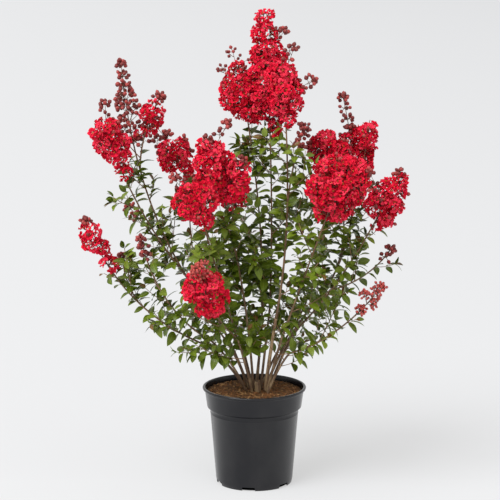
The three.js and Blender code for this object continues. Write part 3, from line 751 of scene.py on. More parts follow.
def leaf_material(name, colour, other, vein):
    """A glossy blade in two close greens with paler veins."""
    material, shader, tree = new_material(name, 0.30, 0.25)
    blade = add_patches(tree, colour, shade(colour, other), 45.0)
    veins = add_node(tree, "ShaderNodeGroup", {"Width": 0.045}, node_tree=shared("Veins", vein_group))
    faint = calc(tree, "MULTIPLY", veins.outputs["Mask"], 0.5)
    tree.links.new(mix_colours(tree, faint, blade, (*vein, 1)), shader.inputs["Base Color"])
    add_bump(tree, shader, veins.outputs["Mask"], 0.35, -0.0004)
    return material


# ---------------------------------------------------------------- settings

def colour_property(name, description, default):
    return FloatVectorProperty(name=name, description=description, subtype="COLOR", size=3, min=0, max=1,
                               default=default)


def length_property(name, description, default):
    return FloatProperty(name=name, description=description, subtype="DISTANCE", unit="LENGTH", min=0,
                         default=default)


def number_property(name, description, default):
    return FloatProperty(name=name, description=description, min=0, default=default)


class PotSettings(bpy.types.PropertyGroup):
    sides: IntProperty(name="Sides", description="Faces round the pot", min=24, max=256, default=144)
    colour: colour_property("Plastic", "Colour of the pot", (0.0030, 0.0032, 0.0056))
    dust: colour_property("Dust", "Colour of the dust and scuffs on the pot", (0.018, 0.0176, 0.0190))
    # The underside's colour is painted shade: near black, laid on the underside and the channel that the
    # drains look into.
    shadow: colour_property("Underside", "Colour of the pot's underside", (0.0006, 0.0006, 0.0008))
    roughness: number_property("Roughness", "Roughness of the plastic", 0.20)
    gloss: number_property("Gloss", "Specular level of the plastic", 0.42)


class MixSettings(bpy.types.PropertyGroup):
    chips: number_property("Chips", "Bark chips on each square metre", 36000)
    crumbs: number_property("Crumbs", "Small crumbs on each square metre", 46000)
    dark: colour_property("Dark mix", "Colour of the damp mix", (0.070, 0.032, 0.010))
    red: colour_property("Red chips", "Colour of the fresh bark chips", (0.245, 0.100, 0.028))
    pale: colour_property("Pale chips", "Colour of the dry bark chips", (0.430, 0.235, 0.090))


class WoodSettings(bpy.types.PropertyGroup):
    step: length_property("Step", "Distance between the rings of a cane", 0.003)
    bark: colour_property("Bark", "Colour of the old bark", (0.205, 0.122, 0.070))
    bare: colour_property("Bare wood", "Colour of the patches under the flaked bark", (0.400, 0.272, 0.150))
    twig: colour_property("Young bark", "Colour of the young stems", (0.180, 0.098, 0.050))
    stalk: colour_property("Flower stalks", "Colour of the stalks in the flower heads", (0.200, 0.090, 0.050))


class LeafSettings(bpy.types.PropertyGroup):
    length: length_property("Length", "Length of a full-grown leaf", 0.0375)
    deep: colour_property("Deep green", "Colour of the oldest leaves", (0.054, 0.085, 0.004))
    green: colour_property("Green", "Colour of most leaves", (0.098, 0.143, 0.008))
    light: colour_property("Light green", "Colour of the younger leaves", (0.136, 0.182, 0.022))
    young: colour_property("Young leaves", "Colour of the reddish new leaves", (0.150, 0.062, 0.020))
    vein: colour_property("Veins", "Colour of the veins", (0.210, 0.260, 0.040))


class FlowerSettings(bpy.types.PropertyGroup):
    width: length_property("Width", "Width of an open flower", 0.029)
    spacing: length_property("Spacing", "Least distance between flowers on a flower head", 0.0115)
    # Of the petal colours, the highlight red is a painted highlight and the deep red is painted shade, laid
    # on the outer and the inner flowers.
    crimson: colour_property("Crimson", "Colour of most petals", (0.790, 0.012, 0.045))
    bright: colour_property("Bright red", "Colour of the freshest petals", (0.880, 0.040, 0.085))
    deep: colour_property("Deep red", "Colour of the oldest petals", (0.740, 0.009, 0.034))
    cup: colour_property("Cups", "Colour of the cups under the petals", (0.360, 0.040, 0.032))
    heart: colour_property("Hearts", "Colour of the stamens", (0.780, 0.360, 0.075))


class BudSettings(bpy.types.PropertyGroup):
    width: length_property("Width", "Width of a full-grown bud", 0.0118)
    maroon: colour_property("Maroon buds", "Colour of most buds", (0.150, 0.026, 0.024))
    rosy: colour_property("Rosy buds", "Colour of the buds about to open", (0.270, 0.042, 0.038))
    fresh: colour_property("Fresh buds", "Colour of the small young buds", (0.370, 0.058, 0.048))


class StageSettings(bpy.types.PropertyGroup):
    floor: colour_property("Floor", "Colour of the floor", (0.250, 0.255, 0.266))
    paper: colour_property("Glow's colour", "Colour of the floor's own light", (1.0, 0.997, 0.988))
    glow: number_property("Floor's glow", "Light that the floor gives of its own", 0.508)
    fade: number_property("Fade", "How fast the glow fades towards the back", 0.050)
    lean: number_property("Lean", "How fast the glow fades to the right", 0.02)
    key: number_property("Key light", "Strength of the soft light from the left", 2.95)
    fill: number_property("Fill light", "Strength of the soft light from the right", 0.40)
    sky: number_property("Surrounding light", "Strength of the light from all round", 0.745)


# ---------------------------------------------------------------- pot and potting mix

def pot_profile():
    """The pot's outline as radii and heights: underside, foot, wall, ledge, collar, rolled lip and inside."""
    foot, low, high = POT["foot"], POT["body_bottom"], POT["body_top"]
    collar, band, rim, wall = POT["collar_bottom"], POT["collar_top"], POT["rim"], POT["wall"]
    disc, channel, base, height = POT["disc"], POT["channel"], POT["collar_low"], POT["height"]
    ledge, lip = base - POT["ledge"], height - POT["lip"]
    underside = [(0, 0), (disc - 1, 0), (disc, 0.4), (disc + 0.6, channel - 0.5), (foot - 3.4, channel - 0.5),
                 (foot - 2.4, 0.4), (foot - 1.8, 0), (foot - 0.5, 0), (foot, 0.6)]
    line = ledge - 11  # a fine raised line round the wall
    taper = (high - low) / (ledge - channel)
    at_line = low + taper * (line - channel)
    body = [(low - 0.3, channel - 1), (low + 0.1, channel + 1), (at_line - 0.05, line - 1.2),
            (at_line + 0.5, line - 0.5), (at_line + 0.5, line + 0.5), (at_line + 0.15, line + 1.2),
            (high - 0.2, ledge - 1.5), (high + 0.6, ledge - 0.3)]
    collar_band = [(collar - 1.4, base - 1.2), (collar - 0.3, base - 0.4), (collar + 0.1, base + 1),
                   (band - 0.1, lip - 4.2), (band + 0.5, lip - 3), (rim - 2.8, lip - 0.6),
                   (rim - 1.0, lip + 0.1)]
    roll = []
    for turn in (-50, -20, 10, 40, 65, 90):
        out, up = math.cos(math.radians(turn)), math.sin(math.radians(turn))
        roll.append((rim + 2.6 * (out - 1), height + POT["lip"] / 2 * (up - 1)))
    inside = [(rim - 5.4, height), (rim - 6.6, height - 0.8), (rim - 7, height - 2.4), (band - wall, lip - 3),
              (collar - wall, base), (high - wall, ledge), (low - wall, channel + wall),
              (POT["well"] + 3, channel + wall), (POT["well"] - 1, wall), (0, wall)]
    return underside + body + collar_band + roll + inside


def revolved(profile, sides):
    """A closed shape turned round Z from a profile in millimetres, both ends on the axis."""
    profile = [(radius * MM, height * MM) for radius, height in profile]
    rings = [[(radius * sine, -radius * cosine, height) for cosine, sine in circle(sides)]
             for radius, height in profile[1:-1]]
    shell = Shell()
    shell.stack((0, 0, profile[0][1]), rings, (0, 0, profile[-1][1]))
    return shell


def drain_cutters():
    """A block with sloped top corners for each drain notch, through the foot of the pot's wall."""
    half, top = POT["drain_width"] * MM / 2, POT["drain_height"] * MM
    inner, outer = (POT["foot"] - 5.5) * MM, (POT["body_bottom"] + 8) * MM
    arch = [(-half, -0.01), (half, -0.01), (half, top * 0.8), (half * 0.9, top), (-half * 0.9, top),
            (-half, top * 0.8)]
    count = len(arch)
    faces = [list(range(count)), list(range(2 * count - 1, count - 1, -1))]
    faces += [[k, count + k, count + (k + 1) % count, (k + 1) % count] for k in range(count)]
    cutters = Shell()
    for i in range(POT["drains"]):
        turn = Matrix.Rotation(math.radians(POT["drain_turn"] + 360 / POT["drains"] * i), 3, "Z")
        cutters.add([tuple(turn @ Vector((x, y, z))) for y in (-outer, -inner) for x, z in arch], faces)
    return cutters


def cut_away(whole, cutter):
    """The mesh that is left of one object where another one is cut out of it. Both objects are removed."""
    for piece in (whole, cutter):
        bpy.context.scene.collection.objects.link(piece)
    cut = whole.modifiers.new("Cut", "BOOLEAN")
    cut.object, cut.solver = cutter, "EXACT"
    graph = bpy.context.evaluated_depsgraph_get()
    mesh = bpy.data.meshes.new_from_object(whole.evaluated_get(graph), depsgraph=graph)
    whole.modifiers.clear()
    for piece in (whole, cutter):
        bpy.data.objects.remove(piece)
    return mesh


def underside_shade_mask(tree):
    """Where shade is painted on the pot: 1 on its underside and in the channel round it, 0 elsewhere."""
    x, y, z = add_node(tree, "ShaderNodeSeparateXYZ", {0: own_space(tree)}).outputs
    level = add_node(tree, "ShaderNodeCombineXYZ", {"X": x, "Y": y})
    reach = add_node(tree, "ShaderNodeVectorMath", {0: level.outputs[0]}, operation="LENGTH")
    within = calc(tree, "LESS_THAN", reach.outputs["Value"], (POT["foot"] - 3.2) * MM)
    return calc(tree, "MULTIPLY", within, calc(tree, "LESS_THAN", z, POT["channel"] * 1.15 * MM))


def pot_material(settings):
    """Black plastic with a fine grain and soft smears of dust, and painted shade on its underside: near black
    and without gloss.
    """
    material, shader, tree = new_material("pot_plastic", settings.roughness, settings.gloss)
    dusty = add_patches(tree, settings.colour, settings.dust, 9.0, stretch=0.6, low=0.42, high=0.8)
    # Painted shade: the underside and the channel turn near black and lose their gloss, as if in shadow.
    under = underside_shade_mask(tree)
    tree.links.new(mix_colours(tree, under, dusty, (*settings.shadow, 1)), shader.inputs["Base Color"])
    painted_shade_gloss = add_node(tree, "ShaderNodeMapRange", {"Value": under, "To Min": settings.gloss, "To Max": 0.0})
    tree.links.new(painted_shade_gloss.outputs["Result"], shader.inputs["Specular IOR Level"])
    rough = add_node(tree, "ShaderNodeMapRange", {
        "Value": add_grain(tree, 14.0, 0.4), "To Min": settings.roughness - 0.08,
        "To Max": settings.roughness + 0.12})
    tree.links.new(rough.outputs["Result"], shader.inputs["Roughness"])
    add_bump(tree, shader, add_grain(tree, 900.0), 0.35, 0.00012)
    return material


class CRAPE_OT_pot(bpy.types.Operator):
    """Adds the nursery pot"""
    bl_idname = "crape.pot"
    bl_label = "Pot"

    def execute(self, context):
        settings = context.scene.crape_pot
        rough = bpy.data.objects.new("pot_rough", revolved(pot_profile(), settings.sides).mesh("pot_rough"))
        cutter = bpy.data.objects.new("drain_cutter", drain_cutters().mesh("drain_cutter"))
        mesh = cut_away(rough, cutter)
        mesh.set_sharp_from_angle(angle=math.radians(38))
        mesh.name = "pot_shell"
        new_piece("pot_shell", mesh, pot_material(settings), ["pot"])
        return {"FINISHED"}


def mix_height(x, y):
    """The height of the mix's top over the floor, by place, in metres."""
    reach = math.hypot(x, y) / MM
    share = max(0.0, min(1.0, (reach - MIX["crown_radius"]) / MIX["slope"]))
    level = MIX["crown"] + (MIX["edge"] - MIX["crown"]) * share
    bumps = 1.6 * noise.noise(Vector((x, y, 0)) * 70) + 1.0 * noise.noise(Vector((x, y, 0.3)) * 190)
    return (level - MIX["bedding"] + bumps) * MM


def ring_band(inner, outer, sides):
    """The faces between two rings of points, each given by the number of its first point."""
    return [[inner + k, outer + k, outer + (k + 1) % sides, inner + (k + 1) % sides] for k in range(sides)]


def mix_top(radius, rings, sides):
    """The top of the mix, an open disc with low bumps, as its points and faces."""
    points = [(0, 0, mix_height(0, 0))]
    for ring in range(1, rings + 1):
        reach = radius * ring / rings
        points += [(reach * x, reach * y, mix_height(reach * x, reach * y)) for x, y in circle(sides)]
    faces = [[0, 1 + k, 1 + (k + 1) % sides] for k in range(sides)]
    for ring in range(rings - 1):
        faces += ring_band(1 + ring * sides, 1 + (ring + 1) * sides, sides)
    return points, faces


def mix_bed(radius, rings, sides):
    """The mix as a closed body, which narrows below its top."""
    points, faces = mix_top(radius, rings, sides)
    below = len(points)
    floor, narrow = (MIX["edge"] - MIX["depth"]) * MM, radius * MIX["narrow"]
    points += [(narrow * x, narrow * y, floor) for x, y in circle(sides)]
    faces += ring_band(below - sides, below, sides)
    faces.append(list(range(below + sides - 1, below - 1, -1)))
    return points, faces


def chip_shape(seed, length, width, height=0.0022):
    """A splinter of bark: a cut block with uneven corners, narrower towards its ends."""
    rng = random.Random(seed)
    points = []
    for x in (-1, -0.3, 0.4, 1):
        narrow = 1 - 0.5 * x * x
        for y, z in ((-1, -1), (1, -1), (1, 1), (-1, 1)):
            points.append((length / 2 * (x + rng.uniform(-0.15, 0.15)),
                           width / 2 * (y * narrow + rng.uniform(-0.25, 0.25)),
                           height / 2 * (z * narrow + rng.uniform(-0.35, 0.35))))
    faces = [[i + (k + 1) % 4, i + 4 + (k + 1) % 4, i + 4 + k, i + k] for i in (0, 4, 8) for k in range(4)]
    faces += [[0, 1, 2, 3], [15, 14, 13, 12]]
    shell = Shell()
    shell.add(points, faces)
    return shell.mesh(f"chip_{seed}", flat=True)


def splinters(name, seed, lengths, width):
    """A collection of splinters, one of each length."""
    return collection_of(name, [chip_shape(seed + k, length, width) for k, length in enumerate(lengths)])


class CRAPE_OT_mix(bpy.types.Operator):
    """Adds the potting mix with its bark chips"""
    bl_idname = "crape.mix"
    bl_label = "Potting mix"

    def execute(self, context):
        settings = context.scene.crape_mix
        radius = (POT["collar_top"] - POT["wall"] - 0.6) * MM
        bed, top = Shell(), Shell()
        bed.add(*mix_bed(radius, rings=40, sides=120))
        top.add(*mix_top(radius - MIX["margin"] * MM, rings=30, sides=60))
        soil = mottled("mix_bed", settings.dark, 2.2, 160.0, 0.95, grain=(0.0012, 520.0))
        new_piece("mix_bed", bed.mesh("mix_bed"), soil, ["potting_mix"])
        chips = splinters("chips", 0, (0.011, 0.014, 0.017, 0.020), 0.0036)
        crumbs = splinters("crumbs", 10, (0.005, 0.006, 0.007), 0.0034)
        layers = (
            ("chips_dark", chips, 0.30 * settings.chips, shade(settings.dark, 1.9)),
            ("chips_red", chips, 0.40 * settings.chips, settings.red),
            ("chips_pale", chips, 0.14 * settings.chips, settings.pale),
            ("crumbs_red", crumbs, 0.6 * settings.crumbs, shade(settings.red, 0.8)),
            ("crumbs_dark", crumbs, 0.4 * settings.crumbs, shade(settings.dark, 1.4)),
        )
        surface = top.mesh("mix_top")
        for seed, (name, shapes, density, colour) in enumerate(layers, 1):
            finish = mottled(name, colour, 0.55, 240.0, 0.9, grain=(0.0006, 900.0))
            mesh = real_mesh(name, surface, shared("Shapes strewn", strewn_tree), {
                "Shapes": shapes, "Density": density, "Smallest": 0.45, "Largest": 1.3,
                "Tilt": 0.5, "Seed": seed, "Finish": finish})
            new_piece(name, mesh, finish)
        return {"FINISHED"}


# ---------------------------------------------------------------- canes and twigs

def bark_relief(seed, flutes, depth):
    """Long flutes, knots and flaked patches, as a factor on a rod's radius."""
    def swell(height, turn):
        x, y = math.cos(turn), math.sin(turn)
        flute = 0.5 * math.cos(flutes * turn + 9 * height + seed)
        knot = 1.3 * noise.noise(Vector((x * 1.2 + seed * 7.3, y * 1.2, height * 26)))
        flake = 0.5 * noise.noise(Vector((x * 3 + seed * 3.1, y * 3, height * 110)))
        return 1 + depth * (flute + knot + flake)

    def relief(centres, turns):
        return np.array([[swell(height, turn) for turn in turns] for height in centres[:, 2]])
    return relief


def bark_material(name, settings, patch_share, lightness):
    """Thin flaking bark over paler smooth wood, redder and darker towards the young tips."""
    material, shader, tree = new_material(name, 0.62, 0.35)
    start = 0.62 - patch_share * 0.3
    flaked = add_patches(tree, shade(settings.bark, lightness), shade(settings.bare, lightness), 75.0,
                         stretch=0.22, low=start, high=start + 0.08)
    height = add_node(tree, "ShaderNodeSeparateXYZ", {0: own_space(tree)}).outputs["Z"]
    rise = add_node(tree, "ShaderNodeMapRange", {"Value": height, "From Min": 0.40, "From Max": 0.80},
                    interpolation_type="SMOOTHSTEP")
    colour = mix_colours(tree, rise.outputs["Result"], flaked, (*settings.twig, 1))
    tree.links.new(colour, shader.inputs["Base Color"])
    add_bump(tree, shader, add_grain(tree, 420.0, 0.25), 0.5, 0.0006)
    return material


def add_cane(shell, cane, sides, step):
    """A cane from the mix to its fork, with a flare at its foot."""
    low, high = (radius * SLIM for radius in cane.spec["radius"])
    below = cane.stem.start - cane.stem.tangent(0) * (CANE_SUNK * MM)
    points = Line(below, cane.stem.control, cane.stem.end).points(step)
    last = len(points) - 1
    radii = []
    for i in range(last + 1):
        flare = 1 + CANE_FLARE["swell"] * math.exp(-i / last / CANE_FLARE["share"])
        radii.append((low + (high - low) * i / last) * flare * MM)
    shell.tube(points, radii, sides, bark_relief(len(cane.name), 3, 0.07))


def add_stump(shell):
    """The cut stub of an old stem, between the canes."""
    rings = 14
    start = metres((*STUMP["at"], MIX["crown"] - 8))
    end = metres((*STUMP["at"], MIX["crown"])) + metres((*STUMP["lean"], STUMP["height"]))
    low, high = STUMP["radius"]
    radii = [(low + (high - low) * i / rings) * MM for i in range(rings)] + [high * 0.82 * MM]
    shell.tube([start.lerp(end, i / rings) for i in range(rings + 1)], radii, 28, bark_relief(3, 5, 0.09))


class CRAPE_OT_canes(bpy.types.Operator):
    """Adds the canes, from the mix to their forks, with the relief of their bark"""
    bl_idname = "crape.canes"
    bl_label = "Canes"

    def execute(self, context):
        settings = context.scene.crape_wood
        main, others = Shell(), Shell()
        add_cane(main, cane_by_name[MAIN_CANE], 28, settings.step)
        names = [cane.name for cane in canes if cane.name != MAIN_CANE]
        for name in names:
            add_cane(others, cane_by_name[name], 16, settings.step)
        add_stump(others)
        pale = bark_material("main_cane_bark", settings, 0.6, 1.15)
        dark = bark_material("canes_bark", settings, 0.36, 0.74)
        new_piece("main_cane", main.mesh("main_cane"), pale, ["cane_" + MAIN_CANE])
        replaced = ["cane_" + name for name in names] + ["old_stump"]
        new_piece("canes", others.mesh("canes"), dark, replaced)
        return {"FINISHED"}


def joint_swell(line, spacing, share):
    """A slight swelling at each leaf joint, as a factor on a rod's radius."""
    joints = share * max(1, round(line.length() / (spacing * MM)))
    away = abs(joints - round(joints)) * spacing
    return 1 + 0.14 * math.exp(-(away / 2.2) ** 2)


class CRAPE_OT_twigs(bpy.types.Operator):
    """Adds the leaders above the forks, their shoots and their twigs"""
    bl_idname = "crape.twigs"
    bl_label = "Twigs"

    def execute(self, context):
        settings = context.scene.crape_wood
        limbs, twigs = Shell(), Shell()
        for stem in grow_stems():
            points = stem.line.points(0.005 if stem.rank == 0 else 0.012)
            radii = []
            for i in range(len(points)):
                share = i / (len(points) - 1)
                radius = stem.low + (stem.high - stem.low) * share ** 0.5
                radii.append(radius * joint_swell(stem.line, stem.spacing, share) * MM)
            if stem.rank == 0:
                limbs.tube(points, radii, 10, bark_relief(3, 2, 0.03))
            else:
                twigs.tube(points, radii, 5)
        new_piece("limbs", limbs.mesh("limbs"), bark_material("limb_bark", settings, 0.2, 0.85))
        new_piece("twigs", twigs.mesh("twigs"), mottled("twig_bark", settings.twig, 1.7, 90.0, 0.55))
        return {"FINISHED"}


# ---------------------------------------------------------------- leaves

def leaf_shape(number, length):
    """A pointed oval blade with a raised fold along its midrib, a drooping tip and a short stalk.

    It is shaped in shares of its length.
    """
    rng = random.Random(40 + number)
    width = 0.26 + 0.02 * rng.random()
    fold, droop, curl = 0.14 + 0.12 * rng.random(), 0.34 + 0.30 * rng.random(), rng.uniform(-0.08, 0.08)
    stalk = 0.07

    def place(along, side, lift):
        reach = stalk + along * (1 - stalk)
        arch = -droop * reach ** 2 + 0.05 * reach
        return (side + curl * reach ** 2, reach * (1 - 0.12 * droop), arch + lift)

    points, coords, faces = [], [], []
    stations = (0.0, 0.14, 0.32, 0.52, 0.72, 0.88, 1.0)
    for along in stations:
        ending = along in (0.0, 1.0)
        half = 0 if ending else width * math.sin(math.pi * along ** 0.9) ** 0.75
        thick = 0.004 if ending else 0.010
        wave = 0.012 * math.sin(9 * along + number)
        for side, lift in ((-1, fold * half + wave), (0, 0.0), (1, fold * half - wave), (0, -thick)):
            points.append(place(along, side * half, 0.0 if ending and side else lift))
            coords.append((0.5 + 0.5 * side * half / width, along))
    for a in range(0, 4 * (len(stations) - 1), 4):
        b = a + 4
        faces += [[a, a + 1, b + 1, b], [a + 1, a + 2, b + 2, b + 1], [a + 3, b + 3, b + 2, a + 2],
                  [a, b, b + 3, a + 3]]
    foot = len(points)
    points += [(0.006, 0, 0.006), (-0.006, 0, 0.006), (0, 0, -0.008)]
    points += [(0.005, stalk + 0.05, 0.002), (-0.005, stalk + 0.05, 0.002), (0, stalk + 0.05, -0.016)]
    coords += [(0.5, 0)] * 3 + [(0.5, 0.05)] * 3
    for k in range(3):
        j = (k + 1) % 3
        faces.append([foot + j, foot + 3 + j, foot + 3 + k, foot + k])
    faces += [[foot, foot + 1, foot + 2], [foot + 5, foot + 4, foot + 3]]
    return blade_mesh(f"leaf_{number}", points, faces, coords, length)


def blade_mesh(name, points, faces, coords, length):
    """A mesh of one blade with its map, its double points merged and its midrib sharp."""
    mesh = bpy.data.meshes.new(name)
    mesh.from_pydata([(x * length, y * length, z * length) for x, y, z in points], [], faces)
    layer = mesh.uv_layers.new(name="UVMap")
    for loop in mesh.loops:
        layer.data[loop.index].uv = coords[loop.vertex_index]
    mesh.polygons.foreach_set("use_smooth", [True] * len(mesh.polygons))
    merge = length / 210
    shape = bmesh.new()
    shape.from_mesh(mesh)
    bmesh.ops.remove_doubles(shape, verts=shape.verts, dist=merge)
    bmesh.ops.dissolve_degenerate(shape, edges=shape.edges, dist=merge / 2)
    bmesh.ops.recalc_face_normals(shape, faces=shape.faces)
    bmesh.ops.triangulate(shape, faces=[face for face in shape.faces if len(face.verts) > 4])
    shape.to_mesh(mesh)
    shape.free()
    mesh.set_sharp_from_angle(angle=math.radians(30))
    return mesh


class KeepOut:
    """The places that leaves keep out of: the flower heads, and the view of the bare main cane."""

    def __init__(self):
        centres, reaches = [], []
        for leader in (leader for cane in canes for leader in cane.leaders):
            radius, belly, roundness, open_share = leader.form
            for height in (i / 8 for i in range(9)):
                around = "foot" if height < 0.3 else "open" if open_share > 0.3 else "buds"
                reach = max(HEAD_ROOM["least"], radius * MM * head_profile(height, belly, roundness))
                centres.append(tuple(leader.head.point(height)))
                reaches.append(HEAD_ROOM[around] + reach)
        self.centres, self.reaches = np.array(centres), np.array(reaches)
        cane = cane_by_name[MAIN_CANE]
        low = [cane.stem.point(i / 16) for i in range(16)]
        high = [cane.leaders[0].wood.point(i / 40) for i in range(15)]
        self.bare = np.array([tuple(at) for at in low + high])

    def in_head(self, place):
        clear = self.reaches - HEAD_ROOM["behind"] * (self.centres[:, 1] < place[1])
        return (np.linalg.norm(self.centres - place, axis=1) < clear).any()

    def before_cane(self, place):
        x, y, z = self.bare[np.argmin(np.abs(self.bare[:, 2] - place[2]))] - place
        return abs(z) < BARE_STRIP["half_height"] and abs(x) < BARE_STRIP["half_width"] and y > 0

    def holds(self, place):
        corner = place[2] > BARE_CORNER["height"] and abs(place[0]) > BARE_CORNER["reach"]
        return corner or self.in_head(place) or self.before_cane(place)


def pair_count(stem):
    """How many pairs of leaves a stem bears, by its length and its middle's place in the crown."""
    middle = stem.line.point(0.5)
    out = min(1, middle.xy.length / CROWN_EDGE)
    inner, outer = next((inner, outer) for top, inner, outer in OPENNESS if middle.z < top)
    return max(2, round(stem.line.length() / (stem.spacing * MM * (inner + (outer - inner) * out))))


def leaf_tint(rng, stem_tint, at_tip):
    """A leaf mostly has its stem's tint. Some at the tips are young."""
    if at_tip and rng.random() < LEAF["young"]:
        return "young"
    if rng.random() < LEAF["own_tint"]:
        return rng.choice(tuple(LEAF_TINTS))
    return stem_tint


def leaf_spots(length):
    """The leaves of every stem by their tint, in opposite pairs that turn by a right angle each time."""
    spots = {tint: [] for tint in (*LEAF_TINTS, "young")}
    keep_out = KeepOut()
    for index, stem in enumerate(grow_stems()):
        rng = random.Random(1000 + index)
        stem_tint = rng.choices(tuple(LEAF_TINTS), tuple(LEAF_TINTS.values()))[0]
        count = pair_count(stem)
        turn = rng.uniform(0, 90)
        for i in range(1, count + 1):
            share = min(1, stem.bare + (1 - stem.bare) * i / count)
            tip = i == count
            at, tangent = stem.line.point(share), stem.line.tangent(share)
            for side in ((0, 180, 90) if tip and stem.rank else (0, 180)):
                leaf_turn = turn + 90 * i + side + rng.uniform(-14, 14)
                along = splay(tangent, leaf_turn, rng.uniform(*LEAF["tip_slant" if tip else "slant"]))
                size = rng.uniform(*LEAF["size"]) * (LEAF["tip_size"] if tip else 1)
                size *= LEAF["twig_size"] if stem.rank == 2 else 1
                if keep_out.holds(np.array(at + along * (0.6 * size * length))):
                    continue
                outward = Vector((at.x, at.y, 0)).normalized()
                normal = UP * 0.9 + outward * rng.uniform(0, 0.8) + jitter(rng, 0.6)
                tint = leaf_tint(rng, stem_tint, tip and stem.rank)
                spots[tint].append(Spot(at, turn_of(along, normal), size, rng.randrange(LEAF_KINDS)))
    return spots


class CRAPE_OT_leaves(bpy.types.Operator):
    """Adds the leaves, in opposite pairs along every stem"""
    bl_idname = "crape.leaves"
    bl_label = "Leaves"

    def execute(self, context):
        settings = context.scene.crape_leaf
        shapes = collection_of("leaf", [leaf_shape(k, settings.length) for k in range(LEAF_KINDS)])
        spots = leaf_spots(settings.length)
        masses = nodes_named("foliage_")
        for tint, other in (("deep", 1.5), ("green", 1.35), ("light", 1.25), ("young", 0.6)):
            material = leaf_material("leaf_" + tint, getattr(settings, tint), other, settings.vein)
            grown_piece("leaves_" + tint, spots[tint], shapes, material,
                        replaced=masses if tint == "green" else ())
        return {"FINISHED"}


# ---------------------------------------------------------------- flower heads

def petal(shell, rng, turn, size):
    """A crumpled round petal on a narrow claw, as a closed shape round +Z."""
    lift = math.radians(rng.uniform(*PETAL["lift"]))
    claw, reach = PETAL["claw"] * size, size * rng.uniform(*PETAL["reach"])
    blade = (reach - claw) / 2
    middle = claw + blade
    count = PETAL["points"]
    points = []
    for k in range(count):
        angle = 2 * math.pi * k / count + rng.uniform(-0.14, 0.14)
        ruffle = (1 if k % 2 else -1) * rng.uniform(*PETAL["ruffle"]) * blade
        edge = blade * rng.uniform(0.84, 1.24)
        points.append((middle + edge * math.cos(angle), edge * 1.25 * math.sin(angle), ruffle))
    points += [(middle, 0, 0.24 * blade * rng.uniform(0.3, 1.6)), (middle - 0.1 * blade, 0, -0.24 * blade)]
    faces = [[k, (k + 1) % count, count] for k in range(count)]
    faces += [[(k + 1) % count, k, count + 1] for k in range(count)]
    half, tail = 0.05 * size, len(points)
    points += [(0, -half, 0), (0, half, 0), (0, 0, -half * 1.5), (claw * 1.35, 0, 0)]
    faces += [[tail, tail + 1, tail + 2], [tail + 1, tail, tail + 3], [tail + 2, tail + 1, tail + 3],
              [tail, tail + 2, tail + 3]]
    twist = Matrix.Rotation(rng.uniform(-0.9, 0.9), 3, "X")
    tilt = Matrix.Rotation(turn, 3, "Z") @ Matrix.Rotation(-lift, 3, "Y") @ twist
    shell.add([tuple(tilt @ Vector(point)) for point in points], faces)


def flower_shape(seed, width):
    """Six crinkled petals round a heart, facing +Z."""
    rng = random.Random(seed)
    shell = Shell()
    for k in range(6):
        petal(shell, rng, math.radians(60 * k + rng.uniform(-9, 9)), width / 2)
    return shell.mesh(f"flower_{seed}", flat=True)


def cup_shape(width):
    """The ribbed cup under a flower, with its short teeth."""
    rings = []
    for reach, height in ((0.085, -0.08), (0.10, 0.01)):
        rings.append([])
        for k, (x, y) in enumerate(circle(8)):
            rib, tooth = (0.8, 0.5) if k % 2 else (1.0, 1.0)
            rings[-1].append((rib * reach * width * x, rib * reach * width * y, height * width * tooth))
    shell = Shell()
    shell.stack((0, 0, -0.19 * width), rings, (0, 0, 0.0))
    return shell.mesh("cup")


def heart_shape(width):
    """A tuft of short stamens, each a thin three-sided stalk with a thicker tip."""
    rng = random.Random(7)
    shell = Shell()
    count, thin = 4, 0.014 * width
    for k in range(count):
        turn = k * math.radians(GOLDEN)
        lean = 0.09 * math.sqrt((k + 0.5) / count) * width
        x, y, z = lean * math.cos(turn), lean * math.sin(turn), 0.13 * width * rng.uniform(0.8, 1.1)
        low_x, low_y = 0.3 * x, 0.3 * y
        points = [(low_x + thin, low_y, 0), (low_x - thin, low_y + thin, 0), (low_x - thin, low_y - thin, 0),
                  (x + 2.2 * thin, y, z), (x - 2 * thin, y + 2 * thin, z), (x - 2 * thin, y - 2 * thin, z),
                  (x, y, z + 3 * thin)]
        faces = [[0, 1, 4, 3], [1, 2, 5, 4], [2, 0, 3, 5], [2, 1, 0], [3, 4, 6], [4, 5, 6], [5, 3, 6]]
        shell.add(points, faces)
    return shell.mesh("heart", flat=True)


def bud_shape(number, width):
    """A round bud with ridges and a small point, on +Z, from its stalk at the origin."""
    rings = []
    for reach, height in ((0.30, 0.10), (0.5, 0.42), (0.40, 0.80), (0.14, 1.0)):
        rings.append([])
        for k, (x, y) in enumerate(circle(8)):
            ridge = reach * width * (1.07 if k % 2 == number % 2 else 0.95)
            rings[-1].append((ridge * x, ridge * y, height * width))
    shell = Shell()
    shell.stack((0, 0, 0), rings, (0, 0, 1.12 * width))
    return shell.mesh(f"bud_{number}")


Blossom = namedtuple("Blossom", "at facing size tint")


